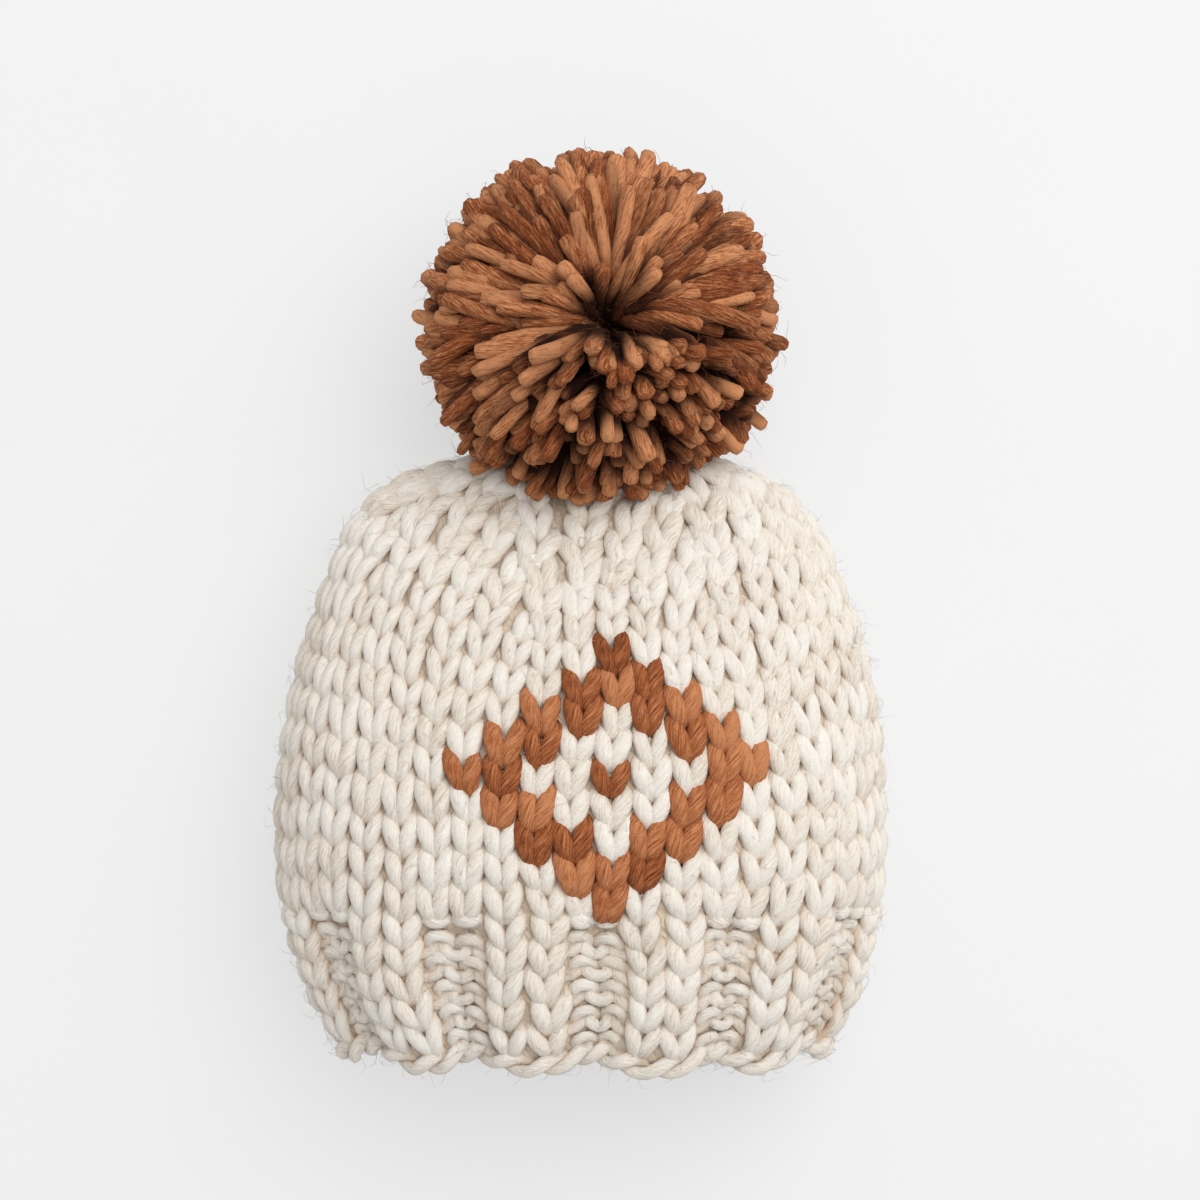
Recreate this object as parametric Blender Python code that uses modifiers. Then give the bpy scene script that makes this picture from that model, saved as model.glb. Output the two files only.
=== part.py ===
"""Chunky knit baby beanie with a cut-yarn pompom, lying on its back on a table.

The hat is a hollow knitted shell. Its rim faces -Y, its crown is gathered shut towards +Y,
its back rests on the table at z = 0 and its front faces +Z. The pompom lies beyond the crown.
All sizes are metres.
"""
import math
import random

import bmesh
import bpy
import numpy as np
from mathutils import Vector

# Hat, driving dimensions
HAT_WIDTH = 0.179            # widest, across the lying hat
HAT_LENGTH = 0.170           # rim plane to the top of the crown
HAT_LOFT = 0.084             # table to the highest point of the front
WALL = 0.007                 # stockinette: two yarns thick
FRONT_POWER = 2.15           # superellipse power of the arched front
BACK_POWER = 2.9             # superellipse power of the back that lies on the table
TABLE_PRESS_SHARE = 1.14     # how far the back would sag through the table if it could

# Rib band
BRIM_HEIGHT = 0.0395         # rim to the first stockinette course
RIB_WALL = 0.006
RIB_DEPTH = 0.0032           # purl pairs lie this far behind the knit pairs
RIB_FADE = 0.016             # length over which the ribs die out in the body
RIM_SCALLOP = 0.0026         # knit pairs hang this much lower at the edge
RIM_ROLL = 0.0012            # rounding of the cast-on edge
WALES = 44                   # stitch columns round the hat
RIB_REPEAT = 4               # knit two, purl two
FRONT_SHIFT = 0.0037         # the middle purl pair lies this far right of the axis

# Crown
PLEATS = 8                   # decrease lines that gather the crown
FIRST_PLEAT_WALE = -2        # counted from the front centre
PLEAT_DEPTH = 0.0028
PLEAT_START = 0.50           # share of the length where the decreases begin
PLEAT_CLOSE = 12             # the pleats fade only right at the gather
PRESSED_SLOPE_SHARE = 0.2    # ribs and pleats are pressed out where the back lies flat
GATHER_HOLE = 0.009          # diameter left in the middle of the gather
GATHER_DIMPLE = 0.002
GATHER_HEIGHT = 0.038        # the gather above the table

# Pompom
POMPOM_DIAMETER = 0.104
POMPOM_SAG = 0.003           # flattened where it lies on the table
POMPOM_OVERLAP = 0.016       # reaches back over the crown
POMPOM_SIDE_SHIFT = 0.0052   # lies a little right of the hat's axis
LOCK_DEPTH = 0.015           # length of the locks outside the core
LOCK_SUBDIVISIONS = 3        # cells of the guide ball, one lock each
LOCK_SPREAD_SHARE = 0.78     # share of its cell that a lock's shoulder fills
LOCK_ROUND = 0.0022          # a cut end's middle above its rim
LOCK_JITTER_SHARE = 0.16     # sideways scatter of the locks, as a share of their spacing
LOCK_SCATTER_SHARE = 0.055   # scatter of their length, as a share of the radius
PARTING_DIRECTION = (0.095, 0.2, 1.0)
PARTING_ANGLE = math.radians(26)
PARTING_DEPTH_SHARE = 0.20   # share of the radius lost where the locks lean apart
SEED = 7

# Tie
KNOT_DIAMETER = 0.017
KNOT_HEIGHT = 0.009

# Motif in contrast yarn: a plain diamond, one letter a stitch
MOTIF_ROWS = (
    ".....X.....",
    "....XXX....",
    "...XX.XX...",
    "..XX...XX..",
    ".XX..O..XX.",
    "..XX...XX..",
    "...XX.XX...",
    "....XXX....",
    ".....X.....",
)
MOTIF_FIRST_WALE = -5        # the chart's left column, counted from the front centre
STITCH_HEIGHT = 0.0084       # one course of stockinette
STITCH_SLANT_SHARE = 0.45    # a leg's outer end above its inner end, share of the height
STITCH_RELIEF = 0.0011
MOTIF_THICKNESS = 0.0012

# Clearances
SEAM_GAP = 0.0003            # band to crown
SEAT_GAP = 0.0005            # pompom and tie to crown
MOTIF_GAP = 0.0003           # motif to crown

# Sections of the hat from rim to gather: share of the length, then shares of half the width,
# and of the loft for the top, the bottom and the height of the widest line
HAT_SECTIONS = (
    (0.000, 0.838, 0.880, 0.000, 0.430),
    (0.090, 0.925, 0.940, 0.000, 0.430),
    (0.230, 0.992, 0.992, 0.000, 0.430),
    (0.380, 1.000, 1.000, 0.000, 0.430),
    (0.540, 0.974, 0.972, 0.000, 0.430),
    (0.680, 0.914, 0.902, 0.000, 0.435),
    (0.800, 0.836, 0.800, 0.010, 0.440),
    (0.890, 0.750, 0.705, 0.045, 0.445),
    (0.950, 0.632, 0.648, 0.105, 0.450),
    (0.985, 0.455, 0.605, 0.190, 0.452),
    (1.000, 0.235, 0.550, 0.305, 0.452),
)

OUTLINE_STEPS = 720
CREAM = (0.80, 0.73, 0.62, 1.0)
CARAMEL = (0.36, 0.135, 0.05, 1.0)


def clear_scene():
    """Remove the start-up objects."""
    for item in list(bpy.data.objects):
        bpy.data.objects.remove(item, do_unlink=True)


def make_collection(name):
    """A new collection in the scene."""
    collection = bpy.data.collections.new(name)
    bpy.context.scene.collection.children.link(collection)
    return collection


def make_material(name, colour, roughness):
    """A Principled material in one colour."""
    material = bpy.data.materials.new(name)
    material.use_nodes = True
    shader = material.node_tree.nodes["Principled BSDF"]
    shader.inputs["Base Color"].default_value = colour
    shader.inputs["Roughness"].default_value = roughness
    shader.inputs["Metallic"].default_value = 0.0
    material.diffuse_color = colour
    return material


def make_object(name, vertices, faces, material, collection):
    """A mesh object from its points and faces."""
    mesh = bpy.data.meshes.new(name)
    mesh.from_pydata([tuple(float(c) for c in point) for point in vertices], [], faces)
    mesh.validate()
    item = bpy.data.objects.new(name, mesh)
    if material is not None:
        mesh.materials.append(material)
    collection.objects.link(item)
    return item


def add_wall(item, thickness):
    """Solidify an open outer surface inwards."""
    solid = item.modifiers.new("Wall", "SOLIDIFY")
    solid.thickness = thickness
    solid.offset = -1.0


def section_at(position):
    """Section sizes at a fractional row of the table, on a Catmull-Rom curve through it."""
    rows = np.array(HAT_SECTIONS)
    last = len(rows) - 1
    index = int(min(max(math.floor(position), 0), last - 1))
    step = position - index
    before, start, end, after = (rows[min(max(index + near, 0), last)] for near in (-1, 0, 1, 2))
    curve = (2 * start + (end - before) * step
             + (2 * before - 5 * start + 4 * end - after) * step ** 2
             + (3 * start - before - 3 * end + after) * step ** 3) / 2
    return curve * np.array((HAT_LENGTH, HAT_WIDTH / 2, HAT_LOFT, HAT_LOFT, HAT_LOFT))


def position_of(along):
    """Fractional row of the table at a distance from the rim plane."""
    positions = np.linspace(0, len(HAT_SECTIONS) - 1, 400)
    lengths = [section_at(position)[0] for position in positions]
    return float(np.interp(along, lengths, positions))


def hat_outline(position):
    """Closed section of the outer surface, from the front centre towards +X."""
    along, half_width, top, bottom, level = section_at(position)
    angle = np.linspace(0, 2 * math.pi, OUTLINE_STEPS, endpoint=False)
    side, rise = np.sin(angle), np.cos(angle)
    front = rise > 0
    power = np.where(front, 2 / FRONT_POWER, 2 / BACK_POWER)
    x = half_width * np.sign(side) * np.abs(side) ** power
    arch = level + (top - level) * np.abs(rise) ** power
    sag = level - (level - bottom) * TABLE_PRESS_SHARE * np.abs(rise) ** power
    z = np.where(front, arch, np.maximum(sag, bottom))
    return np.column_stack((x, np.full_like(x, along), z))


def hat_ring(position, wales):
    """Points of a section at wale numbers, counted from the middle purl pair towards +X."""
    outline = hat_outline(position)
    closed = np.vstack((outline, outline[:1]))
    length = np.concatenate(([0.0], np.cumsum(np.linalg.norm(np.diff(closed, axis=0), axis=1))))
    at = (np.asarray(wales, float) / WALES * length[-1] + FRONT_SHIFT) % length[-1]
    return np.column_stack([np.interp(at, length, closed[:, axis]) for axis in range(3)])


def grid_normals(rings):
    """Outward normals of a grid of closed rings."""
    around = np.roll(rings, -1, axis=1) - np.roll(rings, 1, axis=1)
    along = np.gradient(rings, axis=0)
    normals = np.cross(around, along)
    return normals / np.linalg.norm(normals, axis=2, keepdims=True)


def rib_recess(wales):
    """1 in the middle of a purl pair, 0 in the middle of a knit pair."""
    return 0.5 + 0.5 * np.cos(2 * math.pi * np.asarray(wales, float) / RIB_REPEAT)


def ring_faces(ring_count, points):
    """Triangles between closed rings, facing outwards."""
    faces = []
    for row in range(ring_count - 1):
        for column in range(points):
            low, low_next = row * points + column, row * points + (column + 1) % points
            faces.append((low, low_next, low_next + points))
            faces.append((low, low_next + points, low + points))
    return faces


def brim_rings():
    """Outer surface of the rib band, rim first."""
    wales = np.arange(2 * WALES) / 2
    top = BRIM_HEIGHT - SEAM_GAP / 2
    levels = np.array((0.0, 0.05, 0.32, 0.66, 0.96, 1.0)) * top
    rings = np.array([hat_ring(position_of(level), wales) for level in levels])
    inset = np.full((len(levels), 1), RIB_DEPTH) * rib_recess(wales)
    inset[0] += RIM_ROLL
    rings = rings - grid_normals(rings) * inset[..., None]
    rings[0, :, 1] -= RIM_SCALLOP * (1 - rib_recess(wales))
    return rings


def pleat_wales():
    """Wales on which the decreases of the crown stand."""
    return [(FIRST_PLEAT_WALE + round(index * WALES / PLEATS)) % WALES for index in range(PLEATS)]


def crown_rings(wales):
    """Outer surface of the body and crown, from the band to the gather."""
    start = BRIM_HEIGHT + SEAM_GAP / 2
    first = position_of(start)
    last = len(HAT_SECTIONS) - 1
    near = position_of(start + 0.05 * BRIM_HEIGHT)
    positions = [first, near] + list(np.arange(math.ceil(near * 2) / 2, last + 0.25, 0.5))
    rings = np.array([hat_ring(position, wales) for position in positions])
    along = rings[:, 0, 1]
    ribs = RIB_DEPTH * np.exp(-((along - start) / RIB_FADE) ** 2)
    inset = ribs[:, None] * rib_recess(wales)
    growth = np.clip((along / HAT_LENGTH - PLEAT_START) / (1 - PLEAT_START), 0, 1)
    growth = growth * (1 - growth ** PLEAT_CLOSE)
    pleats = np.zeros(len(wales))
    for wale in pleat_wales():
        distance = np.abs((wales - wale - 0.5 + WALES / 2) % WALES - WALES / 2)
        pleats += np.exp(-distance ** 2)
    inset += PLEAT_DEPTH * growth[:, None] * pleats
    normals = grid_normals(rings)
    pressed = np.clip((1 + normals[:, :, 2]) / PRESSED_SLOPE_SHARE, 0, 1)
    rings = rings - normals * (inset * pressed)[..., None]
    rings[:, :, 2] = np.maximum(rings[:, :, 2], 0.0)
    turn = 2 * math.pi * wales / WALES
    radius = GATHER_HOLE / 2
    gather = np.column_stack((radius * np.sin(turn), np.full(len(wales), HAT_LENGTH - GATHER_DIMPLE),
                              GATHER_HEIGHT + radius * np.cos(turn)))
    return np.concatenate((rings, gather[None]))


def build_brim(material, collection):
    """The knit-two, purl-two band."""
    rings = brim_rings()
    faces = ring_faces(len(rings), rings.shape[1])
    item = make_object("ribbed_brim", rings.reshape(-1, 3), faces, material, collection)
    add_wall(item, RIB_WALL)
    return item


def build_crown(material, collection):
    """The stockinette body with its gathered top."""
    rings = crown_rings(np.arange(WALES) + 0.5)
    faces = ring_faces(len(rings), WALES)
    item = make_object("crown", rings.reshape(-1, 3), faces, material, collection)
    add_wall(item, WALL)
    return item


def build_crown_guard(collection):
    """Closed form of the crown's outside plus the seat gap, which the pompom is cut by."""
    rings = crown_rings(np.arange(WALES) + 0.5)
    rings = rings + grid_normals(rings) * SEAT_GAP
    faces = ring_faces(len(rings), WALES)
    faces.append(tuple(reversed(range(WALES))))
    faces.append(tuple(range((len(rings) - 1) * WALES, len(rings) * WALES)))
    guard = make_object("crown_guard", rings.reshape(-1, 3), faces, None, collection)
    guard.hide_render = True
    guard.display_type = "WIRE"
    return guard


def pompom_centre():
    """Middle of the pompom."""
    radius = POMPOM_DIAMETER / 2
    return np.array((POMPOM_SIDE_SHIFT, HAT_LENGTH + radius - POMPOM_OVERLAP, radius - POMPOM_SAG))


def lock_cells():
    """Directions of the locks and, for each, the directions of its cell's corners in order."""
    dice = random.Random(SEED)
    guide = bmesh.new()
    bmesh.ops.create_icosphere(guide, subdivisions=LOCK_SUBDIVISIONS, radius=1.0)
    spacing = math.sqrt(4 * math.pi / len(guide.verts))
    for vertex in guide.verts:
        shift = Vector([dice.uniform(-1, 1) for _ in range(3)]) * spacing * LOCK_JITTER_SHARE
        vertex.co = (vertex.co + shift).normalized()
    guide.faces.index_update()
    corners = [face.calc_center_median().normalized() for face in guide.faces]
    cells = []
    for vertex in guide.verts:
        axis = vertex.co.normalized()
        first = axis.orthogonal().normalized()
        second = axis.cross(first)
        around = sorted(vertex.link_faces, key=lambda face: math.atan2(
            corners[face.index].dot(second), corners[face.index].dot(first)))
        cells.append((axis, [face.index for face in around]))
    guide.free()
    return corners, cells


def parting_dip(direction):
    """Share of the radius left near the parting, where the locks lean apart."""
    angle = direction.angle(Vector(PARTING_DIRECTION))
    return 1 - PARTING_DEPTH_SHARE * math.exp(-(angle / PARTING_ANGLE) ** 2)


def build_pompom(material, collection, guard):
    """Locks on a core, flattened on the table and seated on the crown."""
    dice = random.Random(SEED + 1)
    radius = POMPOM_DIAMETER / 2
    corners, cells = lock_cells()
    points = [corner * (radius - LOCK_DEPTH) * parting_dip(corner) for corner in corners]
    faces = []
    for axis, around in cells:
        reach = radius * parting_dip(axis) * (1 - LOCK_SCATTER_SHARE * dice.random())
        base = len(points)
        count = len(around)
        for corner in around:
            points.append(axis.lerp(corners[corner], LOCK_SPREAD_SHARE).normalized() * (reach - LOCK_ROUND))
        points.append(axis * reach)
        for index in range(count):
            after = (index + 1) % count
            faces.append((around[index], around[after], base + after))
            faces.append((around[index], base + after, base + index))
            faces.append((base + index, base + after, base + count))
    centre = pompom_centre()
    placed = []
    for point in points:
        drop = -centre[2] / point[2] if point[2] < -centre[2] else 1.0
        placed.append(centre + np.array(point) * drop)
    item = make_object("pompom", placed, faces, material, collection)
    seat = item.modifiers.new("Seat", "BOOLEAN")
    seat.operation = "DIFFERENCE"
    seat.solver = "EXACT"
    seat.object = guard
    return item


def build_tie(material, collection):
    """Yarn tie through the gather, with its knot inside the hat; turned about its own axis."""
    neck = GATHER_HOLE / 2 - SEAT_GAP
    knot = KNOT_DIAMETER / 2
    below = -WALL - SEAT_GAP
    profile = [(0.0, 0.0), (neck, 0.0), (neck, below)]
    for step in range(1, 6):
        turn = math.pi * step / 6
        profile.append((max(neck * (1 - step / 6), 0) + (knot - neck) * math.sin(turn),
                        below - KNOT_HEIGHT * (1 - math.cos(turn)) / 2))
    profile.append((0.0, below - KNOT_HEIGHT))
    edges = [(index, index + 1) for index in range(len(profile) - 1)]
    mesh = bpy.data.meshes.new("pompom_tie")
    mesh.from_pydata([(x, 0.0, z) for x, z in profile], edges, [])
    mesh.materials.append(material)
    item = bpy.data.objects.new("pompom_tie", mesh)
    collection.objects.link(item)
    screw = item.modifiers.new("Turn", "SCREW")
    screw.steps = 12
    screw.render_steps = 12
    screw.use_merge_vertices = True
    screw.merge_threshold = 0.00001
    item.location = (0.0, HAT_LENGTH - GATHER_DIMPLE, GATHER_HEIGHT)
    item.rotation_euler = (-math.pi / 2, 0.0, 0.0)
    return item


def hat_point(wale, along, lift):
    """A point above the outer surface, by wale and distance from the rim."""
    step = 0.001
    position = position_of(along)
    here = hat_ring(position, (wale - 0.1, wale, wale + 0.1))
    ahead = hat_ring(position_of(along + step), (wale,))[0]
    normal = np.cross(here[2] - here[0], ahead - here[1])
    return here[1] + normal / np.linalg.norm(normal) * lift


def build_motif(name, letter, material, collection):
    """One patch of raised V stitches for a letter of the chart."""
    places = {}
    points = []
    faces = []

    def corner(wale, row, lift):
        key = (round(wale, 3), round(row, 3), lift)
        if key not in places:
            places[key] = len(points)
            along = BRIM_HEIGHT + row * STITCH_HEIGHT
            points.append(hat_point(wale, along, MOTIF_GAP + MOTIF_THICKNESS + lift))
        return places[key]

    for row, line in enumerate(reversed(MOTIF_ROWS)):
        for column, mark in enumerate(line):
            if mark != letter:
                continue
            middle = MOTIF_FIRST_WALE + column
            for outer in (middle - 0.5, middle + 0.5):
                leg = (outer + middle) / 2
                rise = row + STITCH_SLANT_SHARE / 2
                low_out = corner(outer, row + STITCH_SLANT_SHARE, 0.0)
                low_in = corner(middle, row, 0.0)
                high_in = corner(middle, row + 1, 0.0)
                high_out = corner(outer, row + 1 + STITCH_SLANT_SHARE, 0.0)
                ridge_low = corner(leg, rise + 0.25, STITCH_RELIEF)
                ridge_high = corner(leg, rise + 0.75, STITCH_RELIEF)
                leg_faces = [(low_out, low_in, ridge_low), (low_in, high_in, ridge_high, ridge_low),
                             (high_in, high_out, ridge_high), (high_out, low_out, ridge_low, ridge_high)]
                faces += leg_faces if outer < middle else [face[::-1] for face in leg_faces]
    item = make_object(name, points, faces, material, collection)
    add_wall(item, MOTIF_THICKNESS)
    return item


def centre_on_origin(items, frame):
    """Parent the pieces to an empty and move it so that their box stands on the origin."""
    bpy.context.view_layer.update()
    graph = bpy.context.evaluated_depsgraph_get()
    corners = []
    for item in items:
        shown = item.evaluated_get(graph)
        corners += [shown.matrix_world @ Vector(corner) for corner in shown.bound_box]
        item.parent = frame
    low = [min(corner[axis] for corner in corners) for axis in range(3)]
    high = [max(corner[axis] for corner in corners) for axis in range(3)]
    frame.location = (-(low[0] + high[0]) / 2, -(low[1] + high[1]) / 2, 0.0)
    bpy.context.view_layer.update()


def main():
    """Build every piece and stand them on the origin."""
    clear_scene()
    hat = make_collection("beanie")
    cutters = make_collection("cutters")
    cream = make_material("cream_yarn", CREAM, 0.9)
    caramel = make_material("caramel_yarn", CARAMEL, 0.9)
    frame = bpy.data.objects.new("beanie_frame", None)
    hat.objects.link(frame)
    guard = build_crown_guard(cutters)
    guard.parent = frame
    pieces = [
        build_brim(cream, hat),
        build_crown(cream, hat),
        build_motif("motif_diamond", "X", caramel, hat),
        build_motif("motif_dot", "O", caramel, hat),
        build_pompom(caramel, hat, guard),
        build_tie(caramel, hat),
    ]
    centre_on_origin(pieces, frame)


main()
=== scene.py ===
"""Looks of the chunky knit baby beanie: real yarn loops, cut pompom strands and wool fuzz.

Every stitch is a stretch of one thick yarn that runs round the hat course by course, laid on a
smooth mid-surface of the knitted wall. All lengths are metres, in the frame of the solids.
"""
import logging
import math
from dataclasses import dataclass, field
from enum import Enum

import bpy
import numpy as np
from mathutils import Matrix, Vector
from mathutils.kdtree import KDTree

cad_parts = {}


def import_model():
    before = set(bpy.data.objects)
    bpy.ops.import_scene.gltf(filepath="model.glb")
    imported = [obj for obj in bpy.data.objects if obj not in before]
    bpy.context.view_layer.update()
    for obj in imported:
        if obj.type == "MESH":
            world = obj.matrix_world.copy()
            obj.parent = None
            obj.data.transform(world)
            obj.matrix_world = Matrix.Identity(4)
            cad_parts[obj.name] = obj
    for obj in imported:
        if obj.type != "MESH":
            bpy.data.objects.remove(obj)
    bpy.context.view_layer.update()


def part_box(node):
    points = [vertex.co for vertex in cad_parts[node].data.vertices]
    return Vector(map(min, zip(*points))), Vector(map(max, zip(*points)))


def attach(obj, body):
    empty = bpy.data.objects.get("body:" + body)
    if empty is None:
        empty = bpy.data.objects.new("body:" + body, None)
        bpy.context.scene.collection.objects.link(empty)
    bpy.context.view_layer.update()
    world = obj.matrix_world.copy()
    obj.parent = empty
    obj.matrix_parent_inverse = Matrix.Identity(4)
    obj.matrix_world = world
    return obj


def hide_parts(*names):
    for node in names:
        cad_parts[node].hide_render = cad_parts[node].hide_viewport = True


LOG = logging.getLogger("beanie")
TURN = 2 * math.pi
MM = 0.001
RIM_SCALLOP = 2.6 * MM
POMPOM_SINK = 3.0 * MM
KNOT_INSET = 5.0 * MM


class Slot(Enum):
    """Material slots of the record."""

    CREAM = "cream_yarn"
    CARAMEL = "caramel_yarn"


def catmull_rom(rows: np.ndarray, position: np.ndarray) -> np.ndarray:
    """Smooth values between rows.

    Formula: the cubic through rows 0, 1, 2 and 3 around each position, whose slope at a row is
    half the difference of its neighbours.

    Args:
        rows: Values, first axis the row.
        position: Fractional row numbers.

    Returns:
        Values at each position, first axis the position.
    """
    last = len(rows) - 1
    index = np.clip(np.floor(position).astype(int), 0, last - 1)
    step = (position - index).reshape((-1,) + (1,) * (rows.ndim - 1))
    before, start, end, after = (rows[np.clip(index + near, 0, last)] for near in (-1, 0, 1, 2))
    return (2 * start + (end - before) * step
            + (2 * before - 5 * start + 4 * end - after) * step ** 2
            + (3 * start - before - 3 * end + after) * step ** 3) / 2


def unit(vectors: np.ndarray) -> np.ndarray:
    """Vectors scaled to length 1."""
    return vectors / np.maximum(np.linalg.norm(vectors, axis=-1, keepdims=True), 1e-12)


def smoothstep(low: float, high: float, value: np.ndarray) -> np.ndarray:
    """0 below low, 1 above high, and 3x^2 - 2x^3 of the share between."""
    share = np.clip((value - low) / (high - low), 0.0, 1.0)
    return share * share * (3 - 2 * share)


def corner_uvs(*corners: tuple) -> np.ndarray:
    """Texture coordinates face by face, from the u and v of each of a face's corners."""
    pairs = [np.stack(np.broadcast_arrays(u, v), axis=-1) for u, v in corners]
    return np.stack(pairs, axis=-2).reshape(-1, 2)


def in_scene(name: str, data: bpy.types.ID) -> bpy.types.Object:
    """Make an object and link it to the scene.

    Args:
        name: Name of the object.
        data: Its mesh, light or camera.

    Returns:
        The object.
    """
    item = bpy.data.objects.new(name, data)
    bpy.context.scene.collection.objects.link(item)
    return item


@dataclass
class HatForm:
    """Shape of the knitted wall.

    Attributes:
        rim_y: World Y of the rim plane.
        width: Widest outside width.
        length: Rim plane to crown top.
        loft: Table to the top of the front.
        wall: Thickness of the knit.
        wales: Stitch columns round the hat.
        front_shift: How far right of the axis the middle purl pair lies.
        front_power: Roundness of the front's arch; 2 is an ellipse.
        back_power: Squareness of the back.
        table_press: How far the back would sag below its lowest level, against its own depth.
        brim_height: Height of the rib band.
        gather_radius: Radius of the circle that the crown is drawn up to.
        gather_dimple: How far that circle lies inside the crown's top.
        gather_height: Its height above the table.
        outline_points: Points round a section before it is resampled.
        samples_per_wale: Table columns for each wale.
        fine_rows: Table rows.
        lowest: Knitted height of the first table row.
        sections: For each section its share of the length, its width as a share of the hat's,
            and its top, bottom and widest level as shares of the loft.
    """

    rim_y: float
    width: float
    length: float
    loft: float
    wall: float = 7.0 * MM
    wales: int = 44
    front_shift: float = 3.7 * MM
    front_power: float = 2.15
    back_power: float = 2.9
    table_press: float = 1.14
    brim_height: float = 39.5 * MM
    gather_radius: float = 4.5 * MM
    gather_dimple: float = 2.0 * MM
    gather_height: float = 38.0 * MM
    outline_points: int = 1440
    samples_per_wale: int = 8
    fine_rows: int = 360
    lowest: float = -6.0 * MM
    sections: tuple = (
        (-0.070, 0.762, 0.828, 0.000, 0.430),
        (0.000, 0.838, 0.880, 0.000, 0.430),
        (0.090, 0.925, 0.940, 0.000, 0.430),
        (0.230, 0.992, 0.992, 0.000, 0.430),
        (0.380, 1.000, 1.000, 0.000, 0.430),
        (0.540, 0.974, 0.972, 0.000, 0.430),
        (0.680, 0.914, 0.902, 0.000, 0.435),
        (0.800, 0.836, 0.800, 0.010, 0.440),
        (0.890, 0.750, 0.705, 0.045, 0.445),
        (0.950, 0.632, 0.648, 0.105, 0.450),
        (0.985, 0.455, 0.605, 0.190, 0.452),
        (1.000, 0.235, 0.550, 0.305, 0.452),
    )

    def __post_init__(self) -> None:
        """Work out the tables of the outside and of the mid-surface."""
        self.columns = self.wales * self.samples_per_wale
        rings = np.array([self.ring(row) for row in self.sections] + [self.gather_ring()])
        self.outer = catmull_rom(rings, np.linspace(0, len(rings) - 1, self.fine_rows))
        self.outer[:, :, 2] = np.maximum(self.outer[:, :, 2], 0.0)
        self.outer_normals = self.normals(self.outer)
        self.points, self.heights = self.by_height(self.outer - self.outer_normals * self.wall / 2)
        self.front_length = float(self.heights[-1])
        self.grid_normals = self.normals(self.points)
        steps = np.linalg.norm(np.roll(self.points, -1, axis=1) - self.points, axis=2)
        self.girths = steps.sum(axis=1)

    def girth(self, height: float) -> float:
        """Length round the mid-surface at a knitted height."""
        return float(np.interp(height, self.heights, self.girths))

    def ring(self, row: tuple) -> np.ndarray:
        """One section of the outside.

        Formula: a superellipse, arched over the front and pressed flat where the back would
        sag below its lowest level, then resampled by its own length.

        Args:
            row: One of the sections.

        Returns:
            Points equally spaced round it.
        """
        along, half_width, top, bottom, level = np.array(row) * (
            self.length, self.width / 2, self.loft, self.loft, self.loft)
        angle = np.linspace(0, TURN, self.outline_points, endpoint=False)
        side, rise = np.sin(angle), np.cos(angle)
        power = np.where(rise > 0, 2 / self.front_power, 2 / self.back_power)
        x = half_width * np.sign(side) * np.abs(side) ** power
        arch = level + (top - level) * np.abs(rise) ** power
        sag = level - (level - bottom) * self.table_press * np.abs(rise) ** power
        z = np.where(rise > 0, arch, np.maximum(sag, bottom))
        outline = np.column_stack((x, np.full_like(x, self.rim_y + along), z))
        closed = np.vstack((outline, outline[:1]))
        steps = np.linalg.norm(np.diff(closed, axis=0), axis=1)
        length = np.concatenate(([0.0], np.cumsum(steps)))
        at = np.arange(self.columns) / self.columns * length[-1] + self.front_shift
        at %= length[-1]
        return np.column_stack([np.interp(at, length, closed[:, axis]) for axis in range(3)])

    def gather_ring(self) -> np.ndarray:
        """The small circle that the crown is drawn up to.

        Formula: sine and cosine of an angle, times its radius.

        Returns:
            Points equally spaced round it.
        """
        angle = np.arange(self.columns) / self.columns * TURN
        y = np.full(self.columns, self.rim_y + self.length - self.gather_dimple)
        return np.column_stack((self.gather_radius * np.sin(angle), y,
                                self.gather_height + self.gather_radius * np.cos(angle)))

    @staticmethod
    def normals(grid: np.ndarray) -> np.ndarray:
        """Outward normals of a grid of rings: the ring's direction crossed with the row's."""
        around = np.roll(grid, -1, axis=1) - np.roll(grid, 1, axis=1)
        return unit(np.cross(around, np.gradient(grid, axis=0)))

    def by_height(self, middle: np.ndarray) -> tuple[np.ndarray, np.ndarray]:
        """Resample the mid-surface by knitted height, from a little below the rim.

        Formula: up to the top of the band, height is the distance from the rim plane. Above it,
        every wale is divided in the same shares of its own length as the front wale.

        Args:
            middle: Grid of rings of the mid-surface.

        Returns:
            The grid at equal steps of height, and those heights on the front wale.
        """
        along = middle[:, :, 1] - self.rim_y
        steps = np.linalg.norm(np.diff(middle, axis=0), axis=2)
        length = np.vstack((np.zeros((1, self.columns)), np.cumsum(steps, axis=0)))
        brim_rows = np.argmax(along[:, 0] > self.brim_height)
        rising = slice(0, brim_rows + 4)
        front_total = self.brim_height + length[-1, 0] - length[brim_rows, 0]
        heights = np.linspace(self.lowest, front_total, self.fine_rows)
        grid = np.empty((self.fine_rows, self.columns, 3))
        low = heights <= self.brim_height
        share = (heights[~low] - self.brim_height) / (front_total - self.brim_height)
        knots = np.append(heights[low], self.brim_height)
        for column in range(self.columns):
            *rim_part, start = np.interp(knots, along[rising, column], length[rising, column])
            at = np.append(rim_part, start + share * (length[-1, column] - start))
            for axis in range(3):
                grid[:, column, axis] = np.interp(at, length[:, column], middle[:, column, axis])
        return grid, heights

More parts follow.
